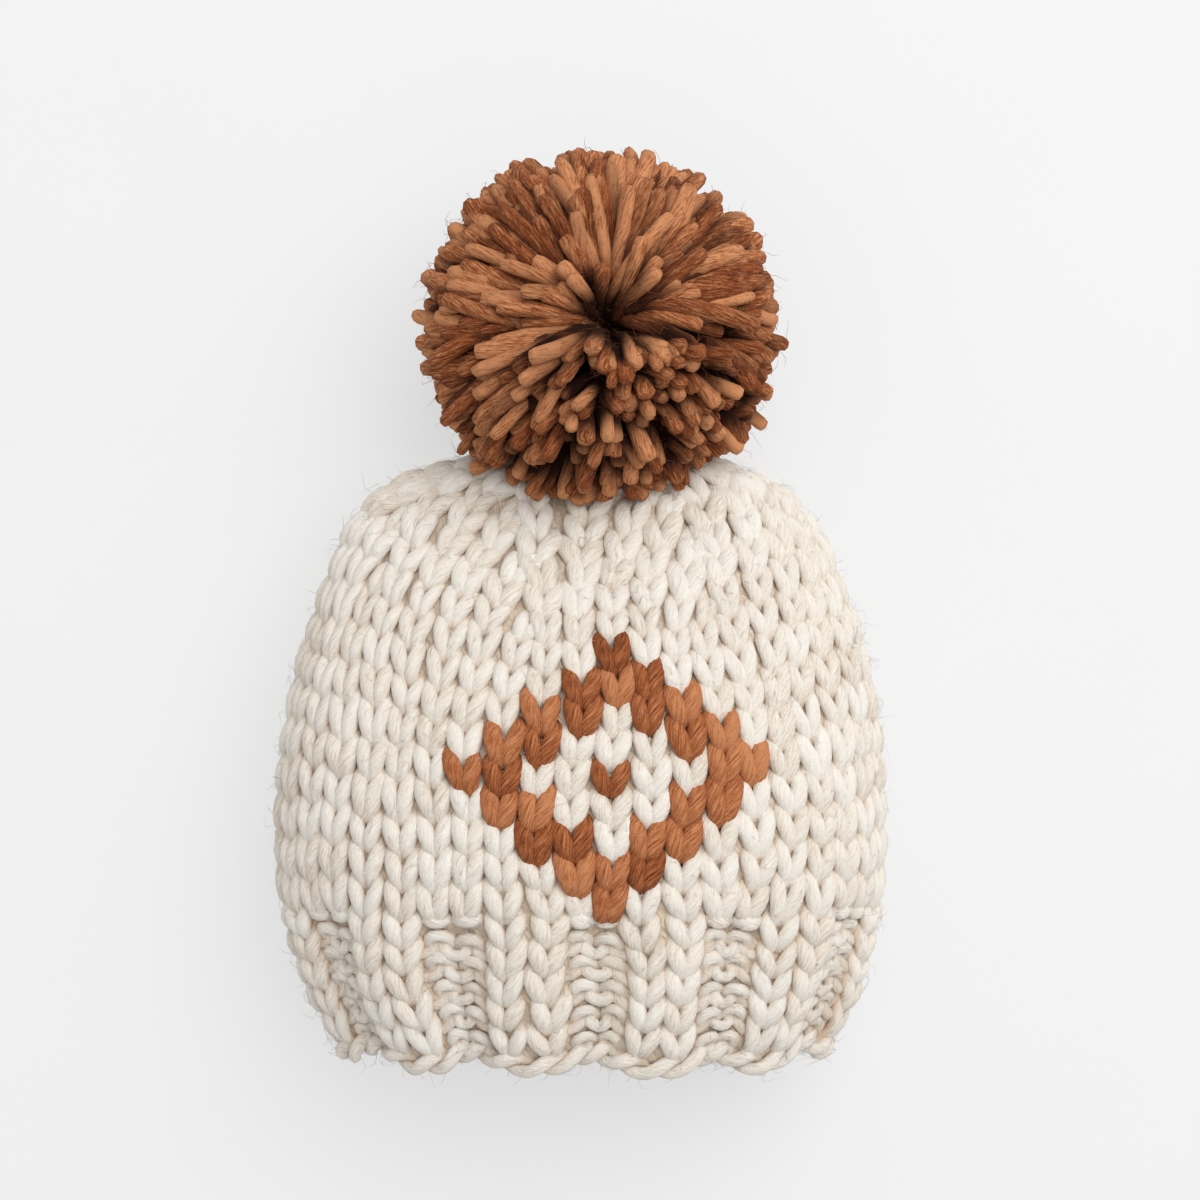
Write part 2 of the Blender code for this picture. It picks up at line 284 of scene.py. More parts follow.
    def place(self, wale: np.ndarray, height: np.ndarray, lift: np.ndarray) -> tuple:
        """Points above the mid-surface and the normals there, read from the tables.

        Args:
            wale: Wale number from the middle purl pair, towards +X.
            height: Knitted height above the rim.
            lift: Distance out of the mid-surface.

        Returns:
            Points and normals.
        """
        across = np.mod(wale, self.wales) * self.samples_per_wale
        up = (height - self.lowest) / (self.front_length - self.lowest)
        up = np.clip(up, 0.0, 1.0) * (self.fine_rows - 1.001)
        left, low = np.floor(across).astype(int) % self.columns, np.floor(up).astype(int)
        right = (left + 1) % self.columns
        u, v = (across - np.floor(across))[..., None], (up - low)[..., None]
        found = []
        for table in (self.points, self.grid_normals):
            below = table[low, left] * (1 - u) + table[low, right] * u
            above = table[low + 1, left] * (1 - u) + table[low + 1, right] * u
            found.append(below * (1 - v) + above * v)
        normal = unit(found[1])
        return found[0] + normal * lift[..., None], normal


@dataclass
class Tube:
    """Yarns swept along their paths and collected into one mesh.

    Attributes:
        name: Name of the piece.
        sides: Faces round a yarn.
        fibre_shift: How far each yarn's fibres are shifted from the last one's.
        end_height: Height of the cone on a cut end, as a share of its half thickness.
        points: Vertices, one array for each sweep or end.
        quads: Faces with four corners, as vertex numbers.
        triangles: Faces with three corners.
        quad_uvs: Texture coordinates of the corners of the quads.
        triangle_uvs: The same for the triangles.
        tones: Shade number of each vertex.
        depths: Depth of each vertex.
        total: Number of vertices so far.
    """

    name: str
    sides: int = 8
    fibre_shift: float = 0.37
    end_height: float = 0.35
    points: list = field(default_factory=list)
    quads: list = field(default_factory=list)
    triangles: list = field(default_factory=list)
    quad_uvs: list = field(default_factory=list)
    triangle_uvs: list = field(default_factory=list)
    tones: list = field(default_factory=list)
    depths: list = field(default_factory=list)
    total: int = 0

    def sweep(self, path: np.ndarray, normal: np.ndarray, across: np.ndarray, thick: np.ndarray,
              tone: np.ndarray, depth: np.ndarray, closed: bool) -> None:
        """Add yarns with an elliptical section.

        Formula: at each path point, the section is the centre plus cosine of the angle times the
        half width sideways plus sine of the angle times the half thickness outwards, where
        sideways is the path's direction crossed with the surface normal.

        Args:
            path: Centre lines, shaped (yarns, points, 3).
            normal: Outward directions at the same points.
            across: Half widths, shaped (yarns, points).
            thick: Half thicknesses.
            tone: Shade number of each point, from 0 to 1.
            depth: How deep each centre lies in the fabric or pompom, in metres, less is deeper; it
                sets
            the painted shade.
            closed: Whether each yarn is a ring.
        """
        yarns, count = path.shape[:2]
        if closed:
            tangent = np.roll(path, -1, axis=1) - np.roll(path, 1, axis=1)
        else:
            tangent = np.gradient(path, axis=1)
        tangent = unit(tangent)
        side = unit(np.cross(tangent, normal))
        out = np.cross(side, tangent)
        near = np.arange(self.sides)
        far = (near + 1) % self.sides
        angle = near / self.sides * TURN
        ring = (path[:, :, None]
                + side[:, :, None] * (across[..., None] * np.cos(angle))[..., None]
                + out[:, :, None] * (thick[..., None] * np.sin(angle))[..., None])
        base = self.total + np.arange(yarns)[:, None, None] * count * self.sides
        rows = np.arange(count if closed else count - 1)
        here = base + rows[:, None] * self.sides
        after = base + (rows[:, None] + 1) % count * self.sides
        quads = np.stack((here + near, after + near, after + far, here + far), axis=-1)
        self.quads.append(quads.reshape(-1, 4))
        steps = np.linalg.norm(np.roll(path, -1, axis=1) - path, axis=2)
        length = np.concatenate((np.zeros((yarns, 1)), np.cumsum(steps, axis=1)), axis=1)
        length += np.arange(yarns)[:, None] * self.fibre_shift
        start, end = length[:, rows, None], length[:, rows + 1, None]
        low, high = near / self.sides, (near + 1) / self.sides
        self.quad_uvs.append(corner_uvs((start, low), (end, low), (end, high), (start, high)))
        # A vertex's depth adds its place round the section, so the inner side of a yarn takes more
        # painted shade.
        self.add_points(ring, np.repeat(tone.reshape(-1), self.sides),
                        depth[..., None] + thick[..., None] * np.sin(angle))
        if not closed:
            self.close_ends(path, tangent, thick, tone, depth, base[:, 0], length)

    def add_points(self, points: np.ndarray, tone: np.ndarray, depth: np.ndarray) -> None:
        """Keep points with their shade numbers and depths.

        Args:
            points: Points of one or more yarns.
            tone: Their shade numbers.
            depth: Their depths.
        """
        self.points.append(points.reshape(-1, 3))
        self.tones.append(tone.reshape(-1))
        self.depths.append(depth.reshape(-1))
        self.total += tone.size

    def close_ends(self, path: np.ndarray, tangent: np.ndarray, thick: np.ndarray, tone: np.ndarray,
                   depth: np.ndarray, base: np.ndarray, length: np.ndarray) -> None:
        """Close open yarns with a low cone on either end.

        Args:
            path: Centre lines.
            tangent: Their directions.
            thick: Half thicknesses.
            tone: Shade numbers.
            depth: Depths of the centres.
            base: Number of each yarn's first vertex, one to a row.
            length: Distance along each yarn.
        """
        yarns, count = path.shape[:2]
        near = np.arange(self.sides)
        far = (near + 1) % self.sides
        for end, sign, first, second in ((0, -1.0, near, far), (count - 1, 1.0, far, near)):
            tip = self.total + np.arange(yarns)[:, None]
            ring = base + end * self.sides
            faces = np.stack(np.broadcast_arrays(ring + first, ring + second, tip), axis=-1)
            self.triangles.append(faces.reshape(-1, 3))
            u = length[:, end, None]
            self.triangle_uvs.append(corner_uvs((u, first / self.sides), (u, second / self.sides),
                                                (u, near / self.sides)))
            reach = sign * thick[:, end, None] * self.end_height
            self.add_points(path[:, end] + tangent[:, end] * reach, tone[:, end], depth[:, end])

    def build(self) -> bpy.types.Object:
        """Make the mesh object; nothing of it lies below the table.

        Returns:
            The object.
        """
        points = np.concatenate(self.points)
        points[:, 2] = np.maximum(points[:, 2], 0.0)
        quads = np.concatenate(self.quads)
        triangles = np.concatenate(self.triangles) if self.triangles else np.zeros((0, 3), int)
        mesh = bpy.data.meshes.new(self.name)
        mesh.vertices.add(len(points))
        mesh.vertices.foreach_set("co", points.astype(np.float32).ravel())
        loops = np.concatenate((quads.ravel(), triangles.ravel())).astype(np.int32)
        mesh.loops.add(len(loops))
        mesh.loops.foreach_set("vertex_index", loops)
        sizes = np.concatenate((np.full(len(quads), 4), np.full(len(triangles), 3)))
        starts = np.concatenate(([0], np.cumsum(sizes)[:-1])).astype(np.int32)
        mesh.polygons.add(len(sizes))
        mesh.polygons.foreach_set("loop_start", starts)
        mesh.polygons.foreach_set("use_smooth", np.ones(len(sizes), bool))
        uvs = np.concatenate(self.quad_uvs + self.triangle_uvs).astype(np.float32)
        mesh.uv_layers.new(name="yarn").data.foreach_set("uv", uvs.ravel())
        for name, values in (("tone", self.tones), ("depth", self.depths)):
            layer = mesh.attributes.new(name, "FLOAT", "POINT")
            layer.data.foreach_set("value", np.concatenate(values).astype(np.float32))
        mesh.update(calc_edges=True)
        mesh.validate()
        return in_scene(self.name, mesh)


class Shading:
    """A node material and short ways to lay out its nodes."""

    def __init__(self, name: str) -> None:
        """Start the material.

        Args:
            name: Name of the material.
        """
        self.material = bpy.data.materials.new(name)
        self.material.use_nodes = True
        self.tree = self.material.node_tree

    def feed(self, node: bpy.types.Node, inputs: dict) -> None:
        """Fill a node's inputs: sockets are linked, numbers and colours are set.

        Args:
            node: The node.
            inputs: Socket, number or colour by the input's name or number.
        """
        for name, value in inputs.items():
            if isinstance(value, bpy.types.NodeSocket):
                self.tree.links.new(value, node.inputs[name])
            else:
                node.inputs[name].default_value = value

    def add(self, kind: str, inputs: dict, **settings: object) -> bpy.types.Node:
        """Add a node with its settings, then fill its inputs.

        Args:
            kind: Node type without its ShaderNode prefix.
            inputs: What feed() puts in.
            settings: The node's own properties, set first.

        Returns:
            The node.
        """
        node = self.tree.nodes.new("ShaderNode" + kind)
        for name, value in settings.items():
            setattr(node, name, value)
        self.feed(node, inputs)
        return node

    def calc(self, operation: str, *values: object) -> bpy.types.NodeSocket:
        """Result of a Math node."""
        return self.add("Math", dict(enumerate(values)), operation=operation).outputs[0]

    def ramp(self, factor: bpy.types.NodeSocket, stops: dict) -> bpy.types.NodeSocket:
        """Colour between stops.

        Args:
            factor: Place on the ramp.
            stops: Colour by position, from low to high.

        Returns:
            The colour.
        """
        node = self.add("ValToRGB", {0: factor})
        elements = node.color_ramp.elements
        first, *between, last = stops.items()
        for element, (position, colour) in ((elements[0], first), (elements[1], last)):
            element.position, element.color = position, (*colour, 1.0)
        for position, colour in between:
            elements.new(position).color = (*colour, 1.0)
        return node.outputs[0]

    def finish(self, inputs: dict) -> bpy.types.Material:
        """Fill the shader and hand over the material."""
        self.feed(self.tree.nodes["Principled BSDF"], inputs)
        return self.material


@dataclass(frozen=True)
class YarnFinish:
    """Colours and surface of a single-ply wool yarn.

    Attributes:
        name: Material name.
        light: Colour of the fibres that catch the light.
        body: Main colour.
        deep: Colour between the fibres.
        shade: Colour of the painted shade that the colour is multiplied by deep between the
            yarns.
        shade_from: Depth, in metres, at which the painted shade is full.
        shade_to: Depth at which it ends.
        variety: How far the tone of one stitch or strand departs from the next.
        sheen: Share of soft light from stray fibres.
        twist: Turns of the fibres for each metre of yarn.
        bump: Depth of the fibres.
        streaks_along: Units of the streak noise for each metre of yarn.
        streaks_round: Radius, in the same units, of the cylinder that it is read on.
        streak_share: Share of the streaks in the mixed shade.
        fuzz_share: Share of the fine fuzz.
        patch_share: Share of the slow patches.
        level: What is added to them.
        stops: Mixed shades at which the deep, the main and the light colour stand.
    """

    name: str
    light: tuple
    body: tuple
    deep: tuple
    shade: tuple
    shade_from: float
    shade_to: float
    variety: float = 0.12
    sheen: float = 0.35
    twist: float = 38.0
    bump: float = 0.35 * MM
    streaks_along: float = 150.0
    streaks_round: float = 2.6
    streak_share: float = 0.70
    fuzz_share: float = 0.13
    patch_share: float = 0.12
    level: float = 0.06
    stops: tuple = (0.36, 0.50, 0.64)

    def make(self) -> bpy.types.Material:
        """Build the node material.

        Formula: fibre streaks are noise read on a cylinder whose axis is the yarn's length, long
        along it and fine round it, and turned with the length for the twist. Streaks, fuzz,
        patches and the stitch's own tone add up to the place on the colour ramp. Painted shade:
        the deeper a point lies in the fabric or ball, the more its colour is multiplied towards the
        shade colour.

        Returns:
            The material.
        """
        shading = Shading(self.name)
        add, calc = shading.add, shading.calc
        length, turn = add("SeparateXYZ", {0: add("UVMap", {}, uv_map="yarn").outputs[0]}).outputs[:2]
        turned = calc("MULTIPLY_ADD", length, self.twist * TURN, calc("MULTIPLY", turn, TURN))
        cylinder = add("CombineXYZ", {
            0: calc("MULTIPLY", length, self.streaks_along),
            1: calc("MULTIPLY", calc("COSINE", turned), self.streaks_round),
            2: calc("MULTIPLY", calc("SINE", turned), self.streaks_round)}).outputs[0]
        place = add("TexCoord", {}).outputs["Object"]
        streak, fuzz, patch = (add("TexNoise", inputs).outputs[0] for inputs in (
            {"Vector": cylinder, "Scale": 1.9, "Detail": 6.0, "Roughness": 0.62},
            {"Vector": place, "Scale": 1400.0, "Detail": 3.0},
            {"Vector": place, "Scale": 90.0, "Detail": 2.0}))
        tone, depth = (add("Attribute", {}, attribute_name=name).outputs["Fac"]
                       for name in ("tone", "depth"))
        mixed = calc("MULTIPLY_ADD", calc("SUBTRACT", tone, 0.5), self.variety, self.level)
        for source, share in ((streak, self.streak_share), (fuzz, self.fuzz_share),
                              (patch, self.patch_share)):
            mixed = calc("MULTIPLY_ADD", source, share, mixed)
        colour = shading.ramp(mixed, dict(zip(self.stops, (self.deep, self.body, self.light))))
        # Painted shade: the deeper the yarn lies between the others, the more its colour is multiplied
        # towards the shade colour.
        buried = add("MapRange", {"Value": depth, "From Min": self.shade_from,
                                  "From Max": self.shade_to, "To Min": 1.0, "To Max": 0.0},
                     interpolation_type="SMOOTHSTEP").outputs[0]
        painted_shade = add("Mix", {"Factor": buried, "A": colour, "B": (*self.shade, 1.0)},
                  data_type="RGBA", blend_type="MULTIPLY")
        bump = add("Bump", {"Strength": 0.85, "Distance": self.bump,
                            "Height": calc("MULTIPLY_ADD", fuzz, 0.35, streak)})
        return shading.finish({
            "Base Color": painted_shade.outputs["Result"], "Normal": bump.outputs[0], "Roughness": 0.92,
            "Specular IOR Level": 0.18, "Sheen Weight": self.sheen, "Sheen Roughness": 0.6,
            "Sheen Tint": (*self.light, 1.0)})


# Each finish's shade colour is painted shade, multiplied in by depth between the yarns and strands.
CREAM_WOOL = YarnFinish(
    "cream_wool", light=(0.96, 0.92, 0.855), body=(0.90, 0.825, 0.725), deep=(0.67, 0.555, 0.44),
    shade=(0.84, 0.71, 0.58), shade_from=-0.5 * MM, shade_to=2.8 * MM, bump=0.9 * MM)
CARAMEL_WOOL = YarnFinish(
    "caramel_wool", light=(0.60, 0.248, 0.110), body=(0.36, 0.110, 0.037), deep=(0.13, 0.030, 0.009),
    shade=(0.36, 0.22, 0.18), shade_from=-1.0 * MM, shade_to=2.6 * MM, variety=0.18, sheen=0.16,
    bump=0.8 * MM)
POMPOM_WOOL = YarnFinish(
    "pompom_wool", light=(0.65, 0.285, 0.128), body=(0.295, 0.080, 0.024), deep=(0.080, 0.016, 0.004),
    shade=(0.04, 0.014, 0.008), shade_from=-8.5 * MM, shade_to=0.3 * MM, variety=0.26, sheen=0.06,
    twist=14.0, bump=0.8 * MM)
# The sheet behind the openings is darker tan: painted shade where the yarn behind lies in shade.
BACKING_PAINTED_SHADE = YarnFinish(
    "backing_painted_shade", light=(0.84, 0.76, 0.65), body=(0.68, 0.57, 0.455), deep=(0.46, 0.345, 0.245),
    shade=(1.0, 1.0, 1.0), shade_from=-1.0, shade_to=-0.5)


@dataclass
class Course:
    """One round of stitches.

    Attributes:
        middle: Knitted height of its middle.
        height: Its height.
        wedges: Stitches in each of the crown's wedges.
        ribbed: Whether it is knit two, purl two.
    """

    middle: float
    height: float
    wedges: tuple
    ribbed: bool = False

    @property
    def stitches(self) -> int:
        """Stitches in the round."""
        return sum(self.wedges)


def stack(start: float, height: float, wedges: list, ribbed: bool = False) -> list:
    """Courses of one height, one above the other from a start."""
    return [Course(start + (row + 0.5) * height, height, wedge, ribbed)
            for row, wedge in enumerate(wedges)]


def waves(rows: tuple, wale: np.ndarray, height: np.ndarray) -> np.ndarray:
    """Sum of sine waves; a row holds size, wales of a wave, height of a radian and phase."""
    return sum(size * np.sin(TURN * wale / wales + height / rise + phase)
               for size, wales, rise, phase in rows)


@dataclass
class Knitting:
    """The yarn loops of the hat.

    Attributes:
        form: The surface that they lie on.
        leg_share: Width of a leg as a share of its stitch's width.
        thinnest_leg: Least width of the yarn.
        fullest_leg: Greatest width of the yarn.
        yarn_thickness: Thickness of the fullest yarn as it lies in a stitch.
        roundness: How much rounder than that the yarn is.
        rib_fullness: How much fuller the rib's knit stitches are than the mean of the rib.
        crown_fullness: How much fuller the yarn is where the crown closes.
        depth: Distance of the legs in front of the middle and of the heads behind it.
        loop_reach: Half the height of a loop, as a share of its course.
        crown_reach: The same where the crown closes.
        purl_drop: How far the purl heads under the body hang down.
        purl_fullness: How much fuller they are.
        waist: How far the legs draw together at the foot, as a share of the wale.
        slant: How far the right leg leans away from the left one, as a share of the wale.
        overlap: How far the upper stitch of a decrease lies above the lower.
        spreads: Random spread of a stitch's lean, reach, height, lift and fullness.
        plumpness: Fullness of the yarn at the foot, and what the legs have more.
        pressed_width: Width of the yarn under the motif, against the yarn beside it.
        pressed_depth: How much lower it lies.
        steps: Path points of a stitch.
        rib_courses: Courses of the band.
        body_courses: Courses of the body.
        body_wedge: Stitches in one wedge pair of the body.
        crown_wedges: The same for each course of the crown.
        wedge_pairs: Wedge pairs round the hat.
        first_wale: Wale at which the rounds begin.
        stitch_height: Height of a body course.
        evening: How far stitches move towards even spacing.
        edge_height: Height of the cast-on edge.
        edge_level: Height of the line that its strands wind round.
        edge_strand: Width of its strands.
        edge_radius: How far they wind off the line.
        edge_lift: How far the line lies out of the wall.
        edge_flatness: Thickness of a strand as a share of its width.
        edge_swell: How much its width varies in a turn.
        edge_wander: How far its turns are early or late, in radians.
        edge_steps: Path points for each wale.
        haze_wall: Thickness of the sheet behind the openings, which is coloured as painted shade.
        haze_dents: Depth of its dents.
        haze_waves: Dents for each wale, and the height of a radian of them.
        haze_columns: Faces for each wale.
        haze_rows: Rows from the rim to the gather.
        haze_start: Knitted height at which they start.
        haze_floor: Least height above the table.
        rib_repeat: Wales of a rib and its recess.
        rib_depth: Depth of the recess.
        rib_top: How far below the band's top the ribs begin to fade.
        rib_fade: Height over which they fade.
        rib_squeeze: How far the ribs draw together, in wales.
        rim_scallop: How far the ribs hang below the rim line.
        pleat_depth: Depth of the crown's pleats.
        pleat_start: Knitted height at which they start.
        pleat_width: Their width, in wales.
        pleat_end: How far below the gather they are full.
        pleat_shift: How far right of the decreases they lie, in wales.
        settled: Heights between which the waves that spare the rim set in.
        lift_waves: Slow waves out of the wall.
        wale_waves: Wander of the wales, in wales.
        height_wave: Waves of the courses.
        settled_wave: Waves of the courses that spare the rim.
        seed: Seed of the random draws.
    """

    form: HatForm
    leg_share: float = 0.515
    thinnest_leg: float = 3.4 * MM
    fullest_leg: float = 5.6 * MM
    yarn_thickness: float = 3.6 * MM
    roundness: float = 1.18
    rib_fullness: float = 0.06
    crown_fullness: float = 1.16
    depth: float = 1.65 * MM
    loop_reach: float = 0.87
    crown_reach: float = 0.95
    purl_drop: float = 2.9 * MM
    purl_fullness: float = 0.34
    waist: float = 0.225
    slant: float = 0.035
    overlap: float = 1.3 * MM
    spreads: tuple = (0.055, 0.05, 0.04, 0.30 * MM, 0.055)
    plumpness: tuple = (0.78, 0.30)
    pressed_width: float = 0.80
    pressed_depth: float = 0.9 * MM
    steps: int = 20
    rib_courses: int = 5
    body_courses: int = 10
    body_wedge: tuple = (6, 5)
    crown_wedges: tuple = ((5, 4), (5, 4), (4, 3), (4, 3), (3, 2), (2, 1), (1, 1))
    wedge_pairs: int = 4
    first_wale: int = -1
    stitch_height: float = 8.4 * MM
    evening: float = 0.5
    edge_height: float = 3.4 * MM
    edge_level: float = 0.4 * MM
    edge_strand: float = 4.1 * MM
    edge_radius: float = 1.7 * MM
    edge_lift: float = 0.5 * MM
    edge_flatness: float = 0.86
    edge_swell: float = 0.06
    edge_wander: float = 0.35
    edge_steps: int = 12
    haze_wall: float = 0.5 * MM
    haze_dents: float = 0.55 * MM
    haze_waves: tuple = (1.75, 1.1 * MM)
    haze_columns: int = 4
    haze_rows: int = 110
    haze_start: float = 1.2 * MM
    haze_floor: float = 0.3 * MM
    rib_repeat: int = 4
    rib_depth: float = 4.0 * MM
    rib_top: float = 6.0 * MM
    rib_fade: float = 11.0 * MM
    rib_squeeze: float = 0.15
    rim_scallop: float = RIM_SCALLOP
    pleat_depth: float = 1.2 * MM
    pleat_start: float = 118.0 * MM
    pleat_width: float = 0.8
    pleat_end: float = 8.0 * MM
    pleat_shift: float = -0.3
    settled: tuple = (4.0 * MM, 12.0 * MM)
    lift_waves: tuple = ((0.5 * MM, 22, 31 * MM, 1.0), (0.4 * MM, 8.8, -17 * MM, 0.0))
    wale_waves: tuple = ((0.10, 11, 13 * MM, 0.0), (0.08, -44 / 9, 7 * MM, 0.0))
    height_wave: tuple = ((0.5 * MM, 14.7, math.inf, 2.0),)
    settled_wave: tuple = ((0.6 * MM, 4.4, 9 * MM, 0.0),)
    seed: int = 11

    def __post_init__(self) -> None:
        """Lay out the courses and work out their loops."""
        self.dice = np.random.default_rng(self.seed)
        full = self.body_wedge * self.wedge_pairs
        rib_height = (self.form.brim_height - self.edge_height) / self.rib_courses
        self.rib = stack(self.edge_height, rib_height, [full] * self.rib_courses, ribbed=True)
        start = self.form.brim_height
        self.body = stack(start, self.stitch_height, [full] * self.body_courses)
        start += self.body_courses * self.stitch_height
        crown_height = (self.form.front_length - start) / (len(self.crown_wedges) + 0.3)
        self.crown = stack(start, crown_height, [row * self.wedge_pairs for row in self.crown_wedges])
        self.courses = self.rib + self.body + self.crown
        for course in self.courses:
            wide = self.form.girth(course.middle) / course.stitches
            LOG.info("course at %.1f mm: %d stitches of %.1f by %.1f mm", course.middle / MM,
                     course.stitches, wide / MM, course.height / MM)
        self.spread()
        self.loops = [self.loop(index) for index in range(len(self.courses))]

    def even(self, count: int) -> np.ndarray:
        """Wale positions of evenly spaced stitches."""
        return self.first_wale + (np.arange(count) + 0.5) * self.form.wales / count

    def spread(self) -> None:
        """Find the wale position of every stitch.

        Formula: a stitch stands over the mean of the stitches that it is knitted into, then moves
        a share of the way to where an even spacing would put it.
        """
        self.centres = [self.even(self.courses[0].stitches)]
        for course, above in zip(self.courses, self.courses[1:]):
            owner = self.parents(course, above)
            parents = np.bincount(owner, weights=self.centres[-1]) / np.bincount(owner)
            even = self.even(above.stitches)
            self.centres.append(parents + self.evening * (even - parents))

    @staticmethod
    def parents(course: Course, above: Course) -> np.ndarray:
        """Which stitch of the course above holds each stitch.

        Args:
            course: The course.
            above: The course above it.

        Returns:
            For each stitch, the number of the one that holds it.
        """
        owner = []
        start = 0
        for here, after in zip(course.wedges, above.wedges):
            owner += [start + min(stitch * after // here if here > after + 1 else stitch, after - 1)
                      for stitch in range(here)]
            start += after
        return np.array(owner)

    def heads(self, index: int) -> tuple:
        """Where each stitch's head is held by the course above.

        Args:
            index: Number of the course.

        Returns:
            Wale position of each head, and for a decrease which stitch lies on top.
        """
        owner = self.parents(self.courses[index], self.courses[index + 1])
        shared = np.bincount(owner)[owner] > 1
        last = np.append(owner[1:] != owner[:-1], True)
        on_top = np.where(shared & last, 1.0, np.where(shared, -0.5, 0.0))
        return self.centres[index + 1][owner], on_top

    def face(self, wale: np.ndarray, course: Course) -> np.ndarray:
        """Which side of a stitch shows.

        Args:
            wale: Wale positions.
            course: Their course.

        Returns:
            +1 for a knit stitch and -1 for a purl stitch.
        """
        if not course.ribbed:
            return np.ones_like(wale)
        return np.where(np.cos(TURN * wale / self.rib_repeat) > 0, -1.0, 1.0)

    def drape(self, wale: np.ndarray, height: np.ndarray) -> tuple:
        """Ribs, pleats and slow waves of the fabric.

        Formula: a cosine across each rib repeat that dies out above the band, a narrow bell at
        each decrease line, and long sine waves.

        Args:
            wale: Wale positions.
            height: Knitted heights.

        Returns:
            Shifted wale, shifted height and lift.
        """
        over = np.maximum(height - self.form.brim_height + self.rib_top, 0)
        fade = np.exp(-(over / self.rib_fade) ** 2)
        phase = TURN * wale / self.rib_repeat
        recess = 0.5 + 0.5 * np.cos(phase)
        growth = smoothstep(self.pleat_start, self.form.front_length - self.pleat_end, height)
        wedge = self.form.wales / (2 * self.wedge_pairs)
        gap = np.mod(wale - self.first_wale - self.pleat_shift + wedge / 2, wedge) - wedge / 2
        lift = (waves(self.lift_waves, wale, height) - self.rib_depth * recess * fade
                - self.pleat_depth * growth * np.exp(-(gap / self.pleat_width) ** 2))
        shifted = wale + waves(self.wale_waves, wale, height) - self.rib_squeeze * np.sin(phase) * fade
        low = 1 - np.clip(height / self.form.brim_height, 0, 1)
        settled = smoothstep(*self.settled, height)
        raised = (height - self.rim_scallop * (1 - recess) * low ** 2
                  + waves(self.height_wave, wale, height)
                  + waves(self.settled_wave, wale, height) * settled)
        return shifted, raised, lift

    def loop(self, index: int) -> dict:
        """Path of a whole course.

        Formula: with t from 0 to a full turn in each stitch, the yarn moves along the course by
        t plus waist times sin 2t, rises by minus cos t times the loop's reach, and weaves from
        behind the feet to in front of the legs and back behind the head as minus cos 2t.

        Args:
            index: Number of the course.

        Returns:
            Arrays shaped (stitches, steps): wale, height, lift, across, thick, tone.
        """
        course = self.courses[index]
        count = course.stitches
        closing = count < self.form.wales
        middle = self.centres[index]
        before, after = np.roll(middle, 1), np.roll(middle, -1)
        before[0] -= self.form.wales
        after[-1] += self.form.wales
        left, right = ((middle + before) / 2)[:, None], ((middle + after) / 2)[:, None]
        centre, wide = middle[:, None], right - left
        leg = self.leg_share * self.form.girth(course.middle) / count
        leg = leg * (self.crown_fullness if closing else 1.0)
        leg = float(np.clip(leg, self.thinnest_leg, self.fullest_leg))
        own = self.face(centre, course)
        top_purl = np.zeros((count, 1), bool)
        if index + 1 == len(self.courses):
            target, on_top, above_face = middle, np.zeros(count), own
        else:
            target, on_top = self.heads(index)
            above_face = self.face(centre, self.courses[index + 1])
            if course.ribbed and not self.courses[index + 1].ribbed:
                top_purl = own < 0
                above_face = np.where(top_purl, -1.0, above_face)
        angle = np.arange(self.steps) / self.steps * TURN
        rise = (1 - np.cos(angle)) / 2
        foot = np.maximum(np.cos(angle), 0) ** 3
        bar = top_purl * np.maximum(-np.cos(angle), 0) ** 3
        spreads = np.reshape(self.spreads, (5, 1, 1))
        lean, stretch, shift, bulge, fuller = self.dice.normal(0, 1, (5, count, 1)) * spreads
        wale = left + wide * (angle / TURN + self.waist * np.sin(2 * angle) + lean * rise
                              + self.slant * np.sin(angle))
        wale = wale + (target[:, None] - centre) * rise ** 1.5
        reach = (self.crown_reach if closing else self.loop_reach) * (1 + stretch)
        height = course.middle + course.height * (shift * rise - reach * np.cos(angle))
        height = height - self.purl_drop * bar
        lower = -own * np.cos(2 * angle)
        upper = own - (above_face + own) * (1 + np.cos(2 * angle)) / 2
        weave = np.where(np.cos(angle) > 0, lower, upper)
        neighbour = np.where(angle < math.pi, np.roll(own, 1, axis=0), np.roll(own, -1, axis=0))
        lift = self.depth * (weave * (1 - foot) - (own + neighbour) / 2 * foot)
        lift = lift + (on_top[:, None] * self.overlap + bulge) * rise
        at_foot, on_legs = self.plumpness
        plump = at_foot + on_legs * np.sin(angle) ** 2 + fuller + self.purl_fullness * bar
        across = leg / 2 * plump * (1 + self.rib_fullness * own * float(course.ribbed))
        thick = across * (self.yarn_thickness / self.fullest_leg) * self.roundness
        tone = np.broadcast_to(self.dice.random((count, 1)), across.shape)
        return {"wale": wale, "height": height, "lift": lift, "across": across, "thick": thick,
                "tone": tone}

    def wind(self, tube: Tube, yarn: dict, closed: bool) -> None:
        """Drape yarn over the form and sweep it.

        Args:
            tube: What it is added to.
            yarn: Its arrays, as loop() gives them.
            closed: Whether each yarn is a ring.
        """
        wale, height, drape = self.drape(yarn["wale"], yarn["height"])
        points, normal = self.form.place(wale, height, yarn["lift"] + drape)
        # The lift out of the mid-surface is the depth that sets the painted shade.
        tube.sweep(points, normal, yarn["across"], yarn["thick"], yarn["tone"], yarn["lift"], closed)

    def lay(self, tube: Tube, courses: list, pressed: dict | None = None) -> None:
        """Wind whole courses.

        Args:
            tube: What they are added to.
            courses: The courses.
            pressed: By course number, the stitches that are thinner and lie lower.
        """
        for course in courses:
            index = self.courses.index(course)
            yarn = {name: values.copy() for name, values in self.loops[index].items()}
            stitches = (pressed or {}).get(index, [])
            yarn["across"][stitches] *= self.pressed_width
            yarn["lift"][stitches] -= self.pressed_depth
            yarn = {name: values.reshape(1, -1) for name, values in yarn.items()}
            self.wind(tube, yarn, closed=True)

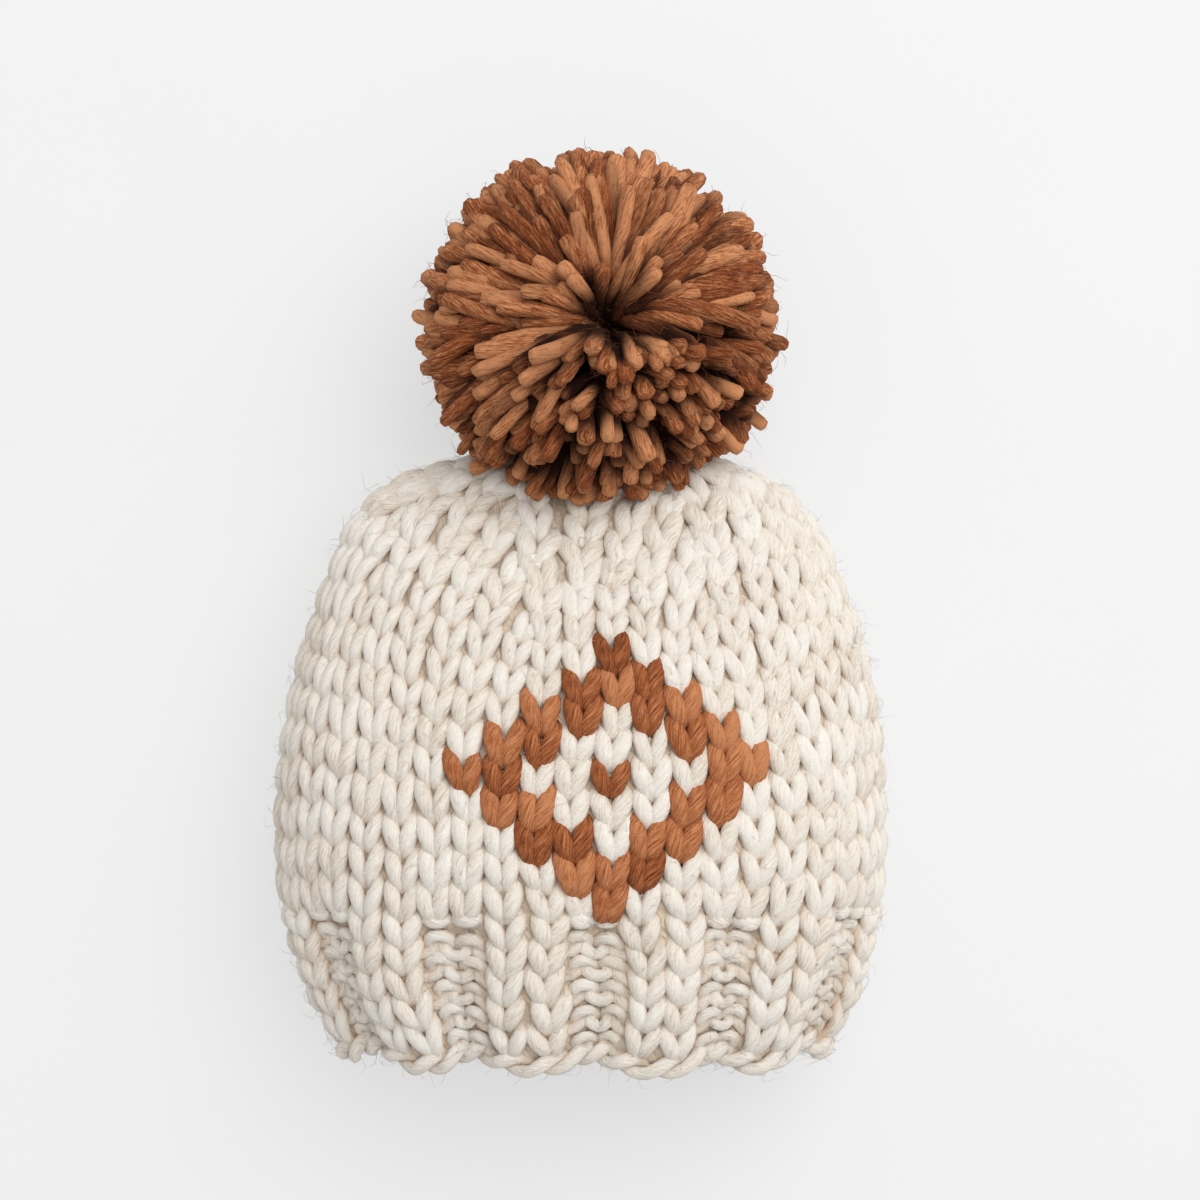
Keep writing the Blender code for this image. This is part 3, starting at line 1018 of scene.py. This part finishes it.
    def first_purls(self, tube: Tube) -> None:
        """Wind the cast-on's loops where they cross in front of the purl columns.

        Formula: the heads of the first course's purl stitches, one course lower.

        Args:
            tube: What they are added to.
        """
        purl = self.face(self.centres[0], self.courses[0]) < 0
        head = slice(self.steps // 4, 3 * self.steps // 4 + 1)
        yarn = {name: values[purl][:, head] for name, values in self.loops[0].items()}
        yarn["height"] = yarn["height"] - self.courses[0].height
        self.wind(tube, yarn, closed=False)

    def cast_on(self, tube: Tube) -> None:
        """Wind the rope-like edge.

        Formula: two strands wind round the rim line as cosine and sine of an angle that makes
        one turn for two wales, so that a slanting bead shows at the foot of every wale.

        Args:
            tube: What they are added to.
        """
        count = self.form.wales * self.edge_steps
        wale = (self.first_wale + np.arange(count) / count * self.form.wales)[None]
        for phase in (0.0, math.pi):
            turn = TURN * wale / 2 + phase + self.edge_wander * np.sin(TURN * wale / 11)
            full = self.edge_strand / 2 * (1 + self.edge_swell * np.sin(2 * turn))
            self.wind(tube, {
                "wale": wale, "height": self.edge_level + self.edge_radius * np.sin(turn),
                "lift": self.edge_radius * np.cos(turn) + self.edge_lift, "across": full,
                "thick": full * self.edge_flatness, "tone": np.full(wale.shape, 0.5)}, closed=True)

    def shaded_backing(self) -> bpy.types.Object:
        """A sheet behind the openings between the yarns, darker tan as painted shade.

        Formula: a thin closed layer that follows the mid-surface, ribs and pleats with it, from
        just above the cast-on edge to the gather, dented as sine times sine.

        Returns:
            The layer.
        """
        wale = np.arange(self.form.wales * self.haze_columns) / self.haze_columns
        height = np.linspace(self.haze_start, self.form.front_length, self.haze_rows)
        wale, height = np.meshgrid(wale + self.form.wales / 2, height)
        shifted, raised, drape = self.drape(wale, height)
        dents, rise = self.haze_waves
        drape += self.haze_dents * np.sin(TURN * wale * dents) * np.sin(height / rise)
        outer, inner = (self.form.place(shifted, raised, drape + side * self.haze_wall / 2)[0]
                        for side in (1, -1))
        points = np.concatenate((outer, inner[::-1])).reshape(-1, 3)
        points[:, 2] = np.maximum(points[:, 2], self.haze_floor)
        columns = wale.shape[1]
        row = np.arange(2 * self.haze_rows)[:, None] * columns
        after = (row + columns) % len(points)
        near = np.arange(columns)
        far = (near + 1) % columns
        quads = np.stack((row + near, row + far, after + far, after + near), axis=-1)
        mesh = bpy.data.meshes.new("backing_sheet")
        mesh.from_pydata(points.tolist(), [], quads.reshape(-1, 4).tolist())
        mesh.shade_smooth()
        fibres = np.stack((height, wale / 2), axis=-1)
        fibres = np.concatenate((fibres, fibres[::-1])).reshape(-1, 2)
        corners = np.empty(len(mesh.loops), np.int32)
        mesh.loops.foreach_get("vertex_index", corners)
        uvs = fibres[corners].astype(np.float32)
        mesh.uv_layers.new(name="yarn").data.foreach_set("uv", uvs.ravel())
        return in_scene("backing_sheet", mesh)


@dataclass
class Motif:
    """Contrast stitches worked over the knitting, one letter of the chart a stitch.

    Attributes:
        knitting: The stitches that they cover.
        first_wale: Wale of the chart's left column.
        raise_by: How far the contrast yarn lies above the stitch.
        fuller: Its width against the cream yarn's.
        thicker: Its thickness against the cream yarn's.
        foot_drop: How far the ends run down below the loop's own feet.
        purl_foot_rise: How far the ends stay above them where a purl bar lies in front.
        foot_depth: How far behind the middle the ends lie.
        end_size: Width and thickness of an end, as shares of what they are over the loop.
        span: Shares of a stitch's turn between which the yarn is seen.
        dip_angle: Part of the turn, in radians, in which an end dips in.
        steps: Path points of a stitch.
        rows: The chart, worked from its last row up, from the first course above the rib.
    """

    knitting: Knitting
    first_wale: int = -5
    raise_by: float = 0.95 * MM
    fuller: float = 1.06
    thicker: float = 1.08
    foot_drop: float = 0.6 * MM
    purl_foot_rise: float = 1.9 * MM
    foot_depth: float = 1.2 * MM
    end_size: tuple = (0.72, 0.80)
    span: tuple = (0.10, 0.90)
    dip_angle: float = 0.55
    steps: int = 26
    rows: tuple = (
        ".....X.....",
        "....XXX....",
        "...XX.XX...",
        "..XX...XX..",
        ".XX..O..XX.",
        "..XX...XX..",
        "...XX.XX...",
        "....XXX....",
        ".....X.....",
    )

    def marked(self, letters: str) -> dict:
        """Find the stitches that carry one of the letters.

        Args:
            letters: Letters of the chart.

        Returns:
            Stitch numbers by course number.
        """
        found: dict = {}
        for index, line in enumerate(reversed(self.rows), start=len(self.knitting.rib)):
            for column, mark in enumerate(line):
                if mark in letters:
                    wale = self.first_wale + column - self.knitting.first_wale
                    found.setdefault(index, []).append(wale % self.knitting.form.wales)
        return found

    def build(self, name: str, letter: str) -> bpy.types.Object:
        """Lay the contrast yarn over its stitches.

        Formula: each follows its stitch's own loop from just above one foot, over the head, to
        just above the other, raised in front and dipping in at both ends.

        Args:
            name: Name of the piece.
            letter: The chart's letter for it.

        Returns:
            The piece.
        """
        knitting = self.knitting
        tube = Tube(name, sides=10)
        angle = np.linspace(*self.span, self.steps) * TURN
        at = angle / TURN * knitting.steps
        low = np.floor(at).astype(int)
        share = at - low
        dip = np.clip(np.minimum(angle - angle[0], angle[-1] - angle) / self.dip_angle, 0, 1)
        for index, stitches in self.marked(letter).items():
            yarn = {key: values[stitches][:, low] * (1 - share)
                    + values[stitches][:, (low + 1) % knitting.steps] * share
                    for key, values in knitting.loops[index].items()}
            foot = self.purl_foot_rise if index == len(knitting.rib) else -self.foot_drop
            yarn["height"] += foot * (1 - dip)
            yarn["lift"] = (yarn["lift"] + self.raise_by) * dip - self.foot_depth * (1 - dip)
            yarn["across"] *= self.fuller * (dip + self.end_size[0] * (1 - dip))
            yarn["thick"] *= self.thicker * (dip + self.end_size[1] * (1 - dip))
            knitting.wind(tube, yarn, closed=False)
        return tube.build()


@dataclass
class Pompom:
    """Cut strands that leave a tied middle.

    Attributes:
        centre: Middle of the ball.
        radius: Radius of the ball.
        form: The hat that it sits on.
        strands: Number of strands.
        strand_width: Mean width of a strand.
        width_spread: Random spread of that width, as a share.
        flattest: Greatest share of its thickness that a strand may lose.
        root: Distance from the middle at which the strands start.
        root_fullness: Fullness of a strand at its root.
        growth: What it gains towards its end.
        blunt_end: Its fullness at the very end.
        fringe: Width of the ball's edge that only the longest strands reach into.
        parting: Direction of the parting where the strands lean apart.
        upright_sector: Direction across the parting where they stand straight.
        crowding: How strongly the other strands' ends are crowded outwards.
        crowd_angle: Polar angle that the ends are crowded towards.
        loose_power: The crowding power of the loose strands; 1 is none.
        least_fall: Least final polar angle, and its random addition.
        loose_share: Share of strands that stick out of the lie of the rest.
        lean: How near the parting a strand starts, as a share of its polar angle.
        parting_hole: Polar angle inside which no strand starts.
        dip: Share of the radius lost at the parting.
        unevenness: Further share that a strand near the parting may lose.
        scatter: Random spread of a strand's length, as a share.
        bend: Power with which a strand falls outwards, and its random addition.
        rise: Power with which it leaves the middle.
        swing: How far a strand bends sideways round the parting, in radians.
        sway: How far its end strays.
        wave: How far its middle strays.
        shake: How far the ends' directions are shaken.
        clumps: Number of clumps that the ends gather in.
        clumping: How strongly they gather.
        patches: Cells across the sphere of directions, for the shade between the strands.
        patch_sets: Shifted sets of those cells that are averaged.
        steps: Path points of a strand.
        sides: Faces round a strand.
        seed: Seed of the random draws.
    """

    centre: np.ndarray
    radius: float
    form: HatForm
    strands: int = 1150
    strand_width: float = 4.7 * MM
    width_spread: float = 0.10
    flattest: float = 0.30
    root: float = 12.0 * MM
    root_fullness: float = 0.54
    growth: float = 0.48
    blunt_end: float = 0.82
    fringe: float = 2.0 * MM
    parting: tuple = (0.095, 0.0, 1.0)
    upright_sector: tuple = (0.34, -0.94, 0.0)
    crowding: float = 1.5
    crowd_angle: float = 1.45
    loose_power: float = 0.75
    least_fall: tuple = (0.28, 0.14)
    loose_share: float = 0.26
    lean: float = 0.80
    parting_hole: float = 0.20
    dip: float = 0.14
    unevenness: float = 0.13
    scatter: float = 0.022
    bend: tuple = (2.0, 0.6)
    rise: float = 0.80
    swing: float = 0.16
    sway: float = 1.2 * MM
    wave: float = 0.9 * MM
    shake: float = 0.035
    clumps: int = 150
    clumping: float = 0.30
    patches: int = 12
    patch_sets: int = 6
    steps: int = 9
    sides: int = 7
    seed: int = 23

    def directions(self) -> np.ndarray:
        """Directions of the cut ends.

        Formula: a golden-angle spiral over the sphere, shaken and drawn into clumps.

        Returns:
            Unit vectors, one to a strand.
        """
        dice = np.random.default_rng(self.seed)
        number = np.arange(self.strands) + 0.5
        z = 1 - 2 * number / self.strands
        angle = number * math.pi * (3 - math.sqrt(5))
        flat = np.sqrt(1 - z * z)
        spots = np.column_stack((flat * np.cos(angle), z, flat * np.sin(angle)))
        spots = unit(spots + dice.normal(0, self.shake, spots.shape))
        clumps = unit(dice.normal(0, 1, (self.clumps, 3)))
        near = clumps[np.argmax(spots @ clumps.T, axis=1)]
        return unit(spots + self.clumping * (near - spots))

    def stations(self) -> np.ndarray:
        """Shares of a strand's length at its path points, the last two close for a blunt end."""
        return np.append(np.linspace(0, 0.965, self.steps - 1), 1.0)

    def paths(self) -> np.ndarray:
        """Centre lines of the strands.

        Formula: the polar angle from the parting starts small and grows to its final value with
        a power of the way along, so that strands rise beside the parting and then fall outwards
        like a fountain. The final values are crowded outwards by a power below 1, apart from a
        few loose strands and from one sector where the strands stand straight. The distance from
        the middle grows to the ball's radius, less a bell-shaped dip round the parting.

        Returns:
            Points shaped (strands, steps, 3).
        """
        dice = np.random.default_rng(self.seed + 1)
        axis = unit(np.array(self.parting))
        tips = self.directions()
        polar = np.arccos(np.clip(tips @ axis, -1, 1))
        across = unit(tips - (tips @ axis)[:, None] * axis)
        fallen = 1 - smoothstep(0.10, 0.65, across @ unit(np.array(self.upright_sector)))
        fallen = fallen * (0.75 + 0.25 * dice.random(self.strands))
        loose = dice.random(self.strands) < self.loose_share
        crowd = np.where(loose, self.loose_power, 1.0 / (1.0 + self.crowding * fallen))
        crowded = self.crowd_angle * (polar / self.crowd_angle) ** crowd
        final = np.where(polar < self.crowd_angle, crowded, polar)
        least, more = self.least_fall
        final = np.maximum(final, least + more * dice.random(self.strands))
        lean = self.lean * (0.18 + 0.82 * fallen) * (1 - smoothstep(0.7, 2.0, polar))
        start = np.minimum(np.maximum(polar * (1 - lean), self.parting_hole), final)
        dip = 1 - self.dip * fallen * np.exp(-(final / 0.85) ** 2)
        scatter = (1 + self.scatter * dice.normal(0, 1, self.strands)).clip(0.93, 1.04)
        inner = 1 - self.unevenness * dice.random(self.strands) * (1 - smoothstep(0.9, 1.4, final))
        reach = (self.radius - self.fringe) * dip * scatter * inner
        along = self.stations()
        bend = self.bend[0] + self.bend[1] * dice.random(self.strands)[:, None]
        angle = start[:, None] + (final - start)[:, None] * along ** bend
        distance = self.root + (reach[:, None] - self.root) * along ** self.rise
        swing = (dice.normal(0, self.swing, self.strands)[:, None] * along ** 1.5)[..., None]
        heading = across[:, None] * np.cos(swing) + np.cross(axis, across)[:, None] * np.sin(swing)
        ray = np.cos(angle)[..., None] * axis + np.sin(angle)[..., None] * heading
        path = self.centre + ray * distance[..., None]
        for size, shape in ((self.sway, along ** 2), (self.wave, np.sin(along * 4))):
            path = path + dice.normal(0, 1, (self.strands, 1, 3)) * size * shape[:, None]
        return path

    def keep_clear(self, path: np.ndarray) -> np.ndarray:
        """Press the strands off the crown and the table.

        Formula: a point nearer than a strand's half width to the outside of the crown moves out
        along the crown's normal, and one nearer to the table moves up.

        Args:
            path: Centre lines.

        Returns:
            The centre lines with those points moved.
        """
        form = self.form
        upper = np.where(form.outer[:, 0, 1] > form.rim_y + 0.5 * form.length)[0][::3]
        spots = form.outer[upper][:, ::3].reshape(-1, 3)
        faces = form.outer_normals[upper][:, ::3].reshape(-1, 3)
        tree = KDTree(len(spots))
        for number, spot in enumerate(spots):
            tree.insert(spot, number)
        tree.balance()
        flat = path.reshape(-1, 3).copy()
        clear = self.strand_width / 2
        for number in np.where(flat[:, 1] < form.rim_y + form.length + 12 * MM)[0]:
            found = tree.find(Vector(flat[number]))[1]
            height = (flat[number] - spots[found]) @ faces[found]
            if height < clear:
                flat[number] += faces[found] * (clear - height)
        flat[:, 2] = np.maximum(flat[:, 2], self.strand_width * 0.42)
        return flat.reshape(path.shape)

    def buried(self, path: np.ndarray) -> np.ndarray:
        """How far each path point lies inside the outermost strand of its direction, for the
        painted shade between the strands.

        Formula: the directions from the middle are sorted into small cubes of the unit sphere,
        and each cube keeps the greatest distance found in it. The mean of several shifted sets
        of cubes is taken, so that no edge of a cube shows.

        Args:
            path: Centre lines.

        Returns:
            Depths shaped (strands, steps); zero is outermost and deeper is below zero.
        """
        away = path - self.centre
        distance = np.linalg.norm(away, axis=2)
        spot = (away / distance[..., None] + 1) / 2 * self.patches
        side = self.patches + 2
        surface = np.zeros(distance.shape)
        for shift in np.linspace(0, 1, self.patch_sets, endpoint=False):
            cell = np.floor(spot + shift).astype(int)
            key = (cell[..., 0] * side + cell[..., 1]) * side + cell[..., 2]
            outermost = np.zeros(side ** 3)
            np.maximum.at(outermost, key, distance)
            surface += outermost[key] / self.patch_sets
        return distance - surface

    def build(self) -> bpy.types.Object:
        """Sweep the strands.

        Formula: a strand's half width rises with a smoothstep from root to end, then narrows at
        the blunt end itself.

        Returns:
            The piece.
        """
        dice = np.random.default_rng(self.seed + 2)
        path = self.keep_clear(self.paths())
        along = self.stations()
        swell = self.root_fullness + self.growth * smoothstep(0.05, 0.92, along)
        swell[-1] = self.blunt_end
        spread = 1 + self.width_spread * dice.normal(0, 1, (self.strands, 1))
        across = self.strand_width / 2 * spread * swell
        flatness = 1 - self.flattest * dice.random((self.strands, 1))
        twist = dice.normal(0, 1, (self.strands, 1, 3))
        normal = unit(unit(path - self.centre) * 0.2 + twist)
        # Random tone for each strand, plus a share that grows towards the cut end: painted shade that
        # darkens each strand towards its root.
        tone = 0.75 * dice.random((self.strands, 1)) + 0.25 * along
        tube = Tube("pompom_strands", sides=self.sides)
        tube.sweep(path, normal, across, across * flatness, tone, self.buried(path), closed=False)
        return tube.build()


@dataclass
class Fuzz:
    """Stray wool fibres that stand off the yarn.

    Attributes:
        name: Name of the piece.
        count: Number of fibres.
        length: Mean length.
        seed: Seed of its scatter.
        width: Thickness of a fibre.
        lift: How far a fibre's middle stands off.
        curl: Random spread of its bend, as a share of its length.
        steps: Path points of a fibre.
    """

    name: str
    count: int
    length: float
    seed: int
    width: float = 0.11 * MM
    lift: float = 1.0 * MM
    curl: float = 0.22
    steps: int = 3

    def build(self, source: bpy.types.Object) -> bpy.types.Object:
        """Grow fibres from random points of a mesh.

        Formula: each starts on a vertex, runs along a random direction in the surface, arches
        outwards as a sine and bends by a second, random sine.

        Args:
            source: The piece that they grow on.

        Returns:
            The piece.
        """
        dice = np.random.default_rng(self.seed)
        mesh = source.data
        points, normals = np.empty((2, len(mesh.vertices) * 3), np.float32)
        mesh.vertices.foreach_get("co", points)
        mesh.vertex_normals.foreach_get("vector", normals)
        points, normals = points.reshape(-1, 3), normals.reshape(-1, 3)
        picked = dice.integers(0, len(points), self.count)
        start, out = points[picked], normals[picked]
        heading = unit(np.cross(out, dice.normal(0, 1, (self.count, 3))))
        side = np.cross(out, heading)
        along = np.linspace(0, 1, self.steps)
        length = self.length * dice.lognormal(0, 0.35, (self.count, 1))
        arch = self.lift * dice.random((self.count, 1)) * 2
        curl = dice.normal(0, self.curl, (self.count, 1)) * length
        path = (start[:, None] + heading[:, None] * (length * along)[..., None]
                + out[:, None] * (arch * np.sin(along * math.pi * 0.8) + 0.02 * MM)[..., None]
                + side[:, None] * (curl * np.sin(along * math.pi * 1.4))[..., None])
        across = np.full((self.count, self.steps), self.width / 2)
        across[:, -1] *= 0.4
        normal = np.broadcast_to(out[:, None], path.shape)
        tone = np.broadcast_to(dice.random((self.count, 1)), across.shape)
        tube = Tube(self.name, sides=3)
        tube.sweep(path, normal, across, across, tone, np.full(across.shape, 4 * MM), closed=False)
        return tube.build()


@dataclass
class Tie:
    """Knotted yarn that holds the pompom through the gather.

    Attributes:
        centre: Middle of the knot.
        knot_radius: Radius of the knot's middle line.
        neck: Length from the knot to the pompom's first strands.
        strand: Half width of the knotted yarn.
        neck_strand: Half width of the neck.
    """

    centre: np.ndarray
    knot_radius: float = 5.2 * MM
    neck: float = 11.0 * MM
    strand: float = 1.9 * MM
    neck_strand: float = 2.6 * MM

    def build(self) -> bpy.types.Object:
        """An overhand knot inside the crown and the strand that leads to the pompom.

        Formula: a trefoil curve, squashed along the hat, and a straight neck.

        Returns:
            The piece.
        """
        tube = Tube("tie_knot", sides=8)
        turn = np.linspace(0, TURN, 60, endpoint=False)
        loop = np.column_stack((np.sin(turn) + 2 * np.sin(2 * turn), -0.9 * np.sin(3 * turn),
                                np.cos(turn) - 2 * np.cos(2 * turn))) / 3
        loop = self.centre + loop * (self.knot_radius, self.knot_radius * 0.9, self.knot_radius)
        neck = self.centre + np.outer(np.linspace(0, 1, 6), (0.0, self.neck, 0.0))
        side = np.broadcast_to((1.0, 0.0, 0.0), neck.shape)
        for path, normal, half, flat, closed in (
                (loop, unit(loop - self.centre), self.strand, 0.9, True),
                (neck, side, self.neck_strand, 1.0, False)):
            wide = np.full((1, len(path)), half)
            tube.sweep(path[None], normal[None], wide, wide * flat, np.full(wide.shape, 0.5),
                       np.full(wide.shape, 4 * MM), closed)
        return tube.build()


@dataclass(frozen=True)
class Studio:
    """Camera straight above the table, soft daylight and a white table.

    Attributes:
        view_x: World X under the camera.
        view_y: World Y under the camera.
        height: Camera above the table.
        pixel: Size of a pixel of the square photograph, at the hat's widest level.
        level: That level.
        frame: Pixels across the photograph.
        room: Strength of the light from all round.
        softbox_watts: Power of the soft light.
        softbox_size: Its side.
        softbox_place: Where it hangs.
        softbox_target: What it is aimed at.
        table_glow: Strength of the table's own light.
        table_size: Side of the table.
    """

    view_x: float = 5.2 * MM
    view_y: float = 0.8 * MM
    height: float = 700 * MM
    pixel: float = 0.29 * MM
    level: float = 40 * MM
    frame: int = 1200
    room: float = 0.58
    softbox_watts: float = 20.0
    softbox_size: float = 1.5
    softbox_place: tuple = (0.55, 0.65, 1.35)
    softbox_target: tuple = (0.0, 0.0, 0.03)
    table_glow: float = 0.56
    table_size: float = 6.0

    def camera(self) -> None:
        """A lens whose view spans the photograph's frame at the hat's widest level."""
        data = bpy.data.cameras.new("overhead")
        data.sensor_width = 36.0
        data.sensor_fit = "AUTO"
        data.lens = data.sensor_width * (self.height - self.level) / (self.pixel * self.frame)
        data.clip_start = 0.01
        item = in_scene("overhead", data)
        item.location = (self.view_x, self.view_y, self.height)
        bpy.context.scene.camera = item

    def light(self) -> None:
        """A large soft light above the upper right and an even, bright room."""
        world = bpy.data.worlds.new("bright_room")
        world.use_nodes = True
        background = world.node_tree.nodes["Background"]
        background.inputs[0].default_value = (1.0, 0.995, 0.99, 1.0)
        background.inputs[1].default_value = self.room
        bpy.context.scene.world = world
        data = bpy.data.lights.new("softbox", "AREA")
        data.shape = "SQUARE"
        data.size = self.softbox_size
        data.energy = self.softbox_watts
        data.color = (1.0, 0.995, 0.985)
        item = in_scene("softbox", data)
        item.location = self.softbox_place
        aim = Vector(self.softbox_target) - Vector(self.softbox_place)
        item.rotation_euler = aim.to_track_quat("-Z", "Y").to_euler()
        bpy.context.scene.view_settings.view_transform = "Standard"

    def table(self) -> bpy.types.Object:
        """A wide white table with the faintest mottling.

        It is lit a little from within, so that the shadows stay as pale as on an overexposed
        white ground.

        Returns:
            The table.
        """
        half = self.table_size / 2
        mesh = bpy.data.meshes.new("table")
        mesh.from_pydata([(-half, -half, 0), (half, -half, 0), (half, half, 0), (-half, half, 0)],
                         [], [(0, 1, 2, 3)])
        shading = Shading("white_table")
        place = shading.add("TexCoord", {}).outputs["Object"]
        noise = shading.add("TexNoise", {"Vector": place, "Scale": 14.0}).outputs[0]
        mottling = shading.ramp(noise, {0.0: (0.300, 0.302, 0.305), 1.0: (0.315, 0.316, 0.318)})
        mesh.materials.append(shading.finish({
            "Base Color": mottling, "Emission Color": (0.99, 0.995, 1.0, 1.0),
            "Emission Strength": self.table_glow, "Roughness": 0.75, "Specular IOR Level": 0.1}))
        return in_scene("table", mesh)


def dress(item: bpy.types.Object, material: bpy.types.Material, slot: Slot, *nodes: str) -> None:
    """Give a piece its material and body, and let it stand for solids.

    Args:
        item: The piece.
        material: Its finish.
        slot: Not used.
        nodes: Solids that it replaces.
    """
    item.data.materials.append(material)
    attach(item, "root")
    for node in nodes:
        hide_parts(node)
    triangles = sum(len(face.vertices) - 2 for face in item.data.polygons)
    LOG.info("%s: %d triangles", item.name, triangles)


def main() -> None:
    """Build the hat's yarn, the pompom and the studio."""
    logging.basicConfig(level=logging.INFO, format="%(name)s: %(message)s")
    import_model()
    studio = Studio()
    studio.camera()
    studio.light()
    studio.table()
    band_low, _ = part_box("ribbed_brim")
    crown_low, crown_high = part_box("crown")
    pompom_low, pompom_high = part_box("pompom")
    tie_low, tie_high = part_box("pompom_tie")
    rim_y = band_low.y + RIM_SCALLOP
    form = HatForm(rim_y=rim_y, width=crown_high.x - crown_low.x, length=crown_high.y - rim_y,
                   loft=crown_high.z)
    cream, caramel, pompom_wool = CREAM_WOOL.make(), CARAMEL_WOOL.make(), POMPOM_WOOL.make()
    knitting = Knitting(form)
    motif = Motif(knitting)

    band, body, crown = Tube("band_stitches"), Tube("body_stitches"), Tube("crown_stitches")
    knitting.lay(band, knitting.rib)
    knitting.first_purls(band)
    knitting.cast_on(band)
    knitting.lay(body, knitting.body, motif.marked("XO"))
    knitting.lay(crown, knitting.crown)
    band_piece = band.build()
    dress(band_piece, cream, Slot.CREAM, "ribbed_brim")
    # The sheet behind the openings is painted shade: darker tan where the yarn behind them lies in
    # shade.
    dress(knitting.shaded_backing(), BACKING_PAINTED_SHADE.make(), Slot.CREAM)
    body_piece, crown_piece = body.build(), crown.build()
    dress(body_piece, cream, Slot.CREAM, "crown")
    dress(crown_piece, cream, Slot.CREAM, "crown")
    dress(motif.build("diamond_stitches", "X"), caramel, Slot.CARAMEL, "motif_diamond")
    dress(motif.build("dot_stitch", "O"), caramel, Slot.CARAMEL, "motif_dot")

    radius = (pompom_high.x - pompom_low.x) / 2
    centre = np.array(((pompom_high.x + pompom_low.x) / 2, pompom_high.y - radius,
                       radius - POMPOM_SINK))
    pompom_piece = Pompom(centre, radius, form).build()
    dress(pompom_piece, pompom_wool, Slot.CARAMEL, "pompom")
    knot = np.array(((tie_low.x + tie_high.x) / 2, tie_low.y + KNOT_INSET,
                     (tie_low.z + tie_high.z) / 2))
    dress(Tie(knot).build(), caramel, Slot.CARAMEL, "pompom_tie")

    body_fuzz = Fuzz("body_fuzz", count=5400, length=4.0 * MM, seed=31)
    dress(body_fuzz.build(body_piece), cream, Slot.CREAM)
    crown_fuzz = Fuzz("crown_fuzz", count=2600, length=4.0 * MM, seed=32)
    dress(crown_fuzz.build(crown_piece), cream, Slot.CREAM)
    band_fuzz = Fuzz("band_fuzz", count=3800, length=4.0 * MM, seed=33)
    dress(band_fuzz.build(band_piece), cream, Slot.CREAM)
    pompom_fuzz = Fuzz("pompom_fuzz", count=8800, length=3.6 * MM, seed=34)
    dress(pompom_fuzz.build(pompom_piece), caramel, Slot.CARAMEL)


if __name__ == "__main__":
    main()
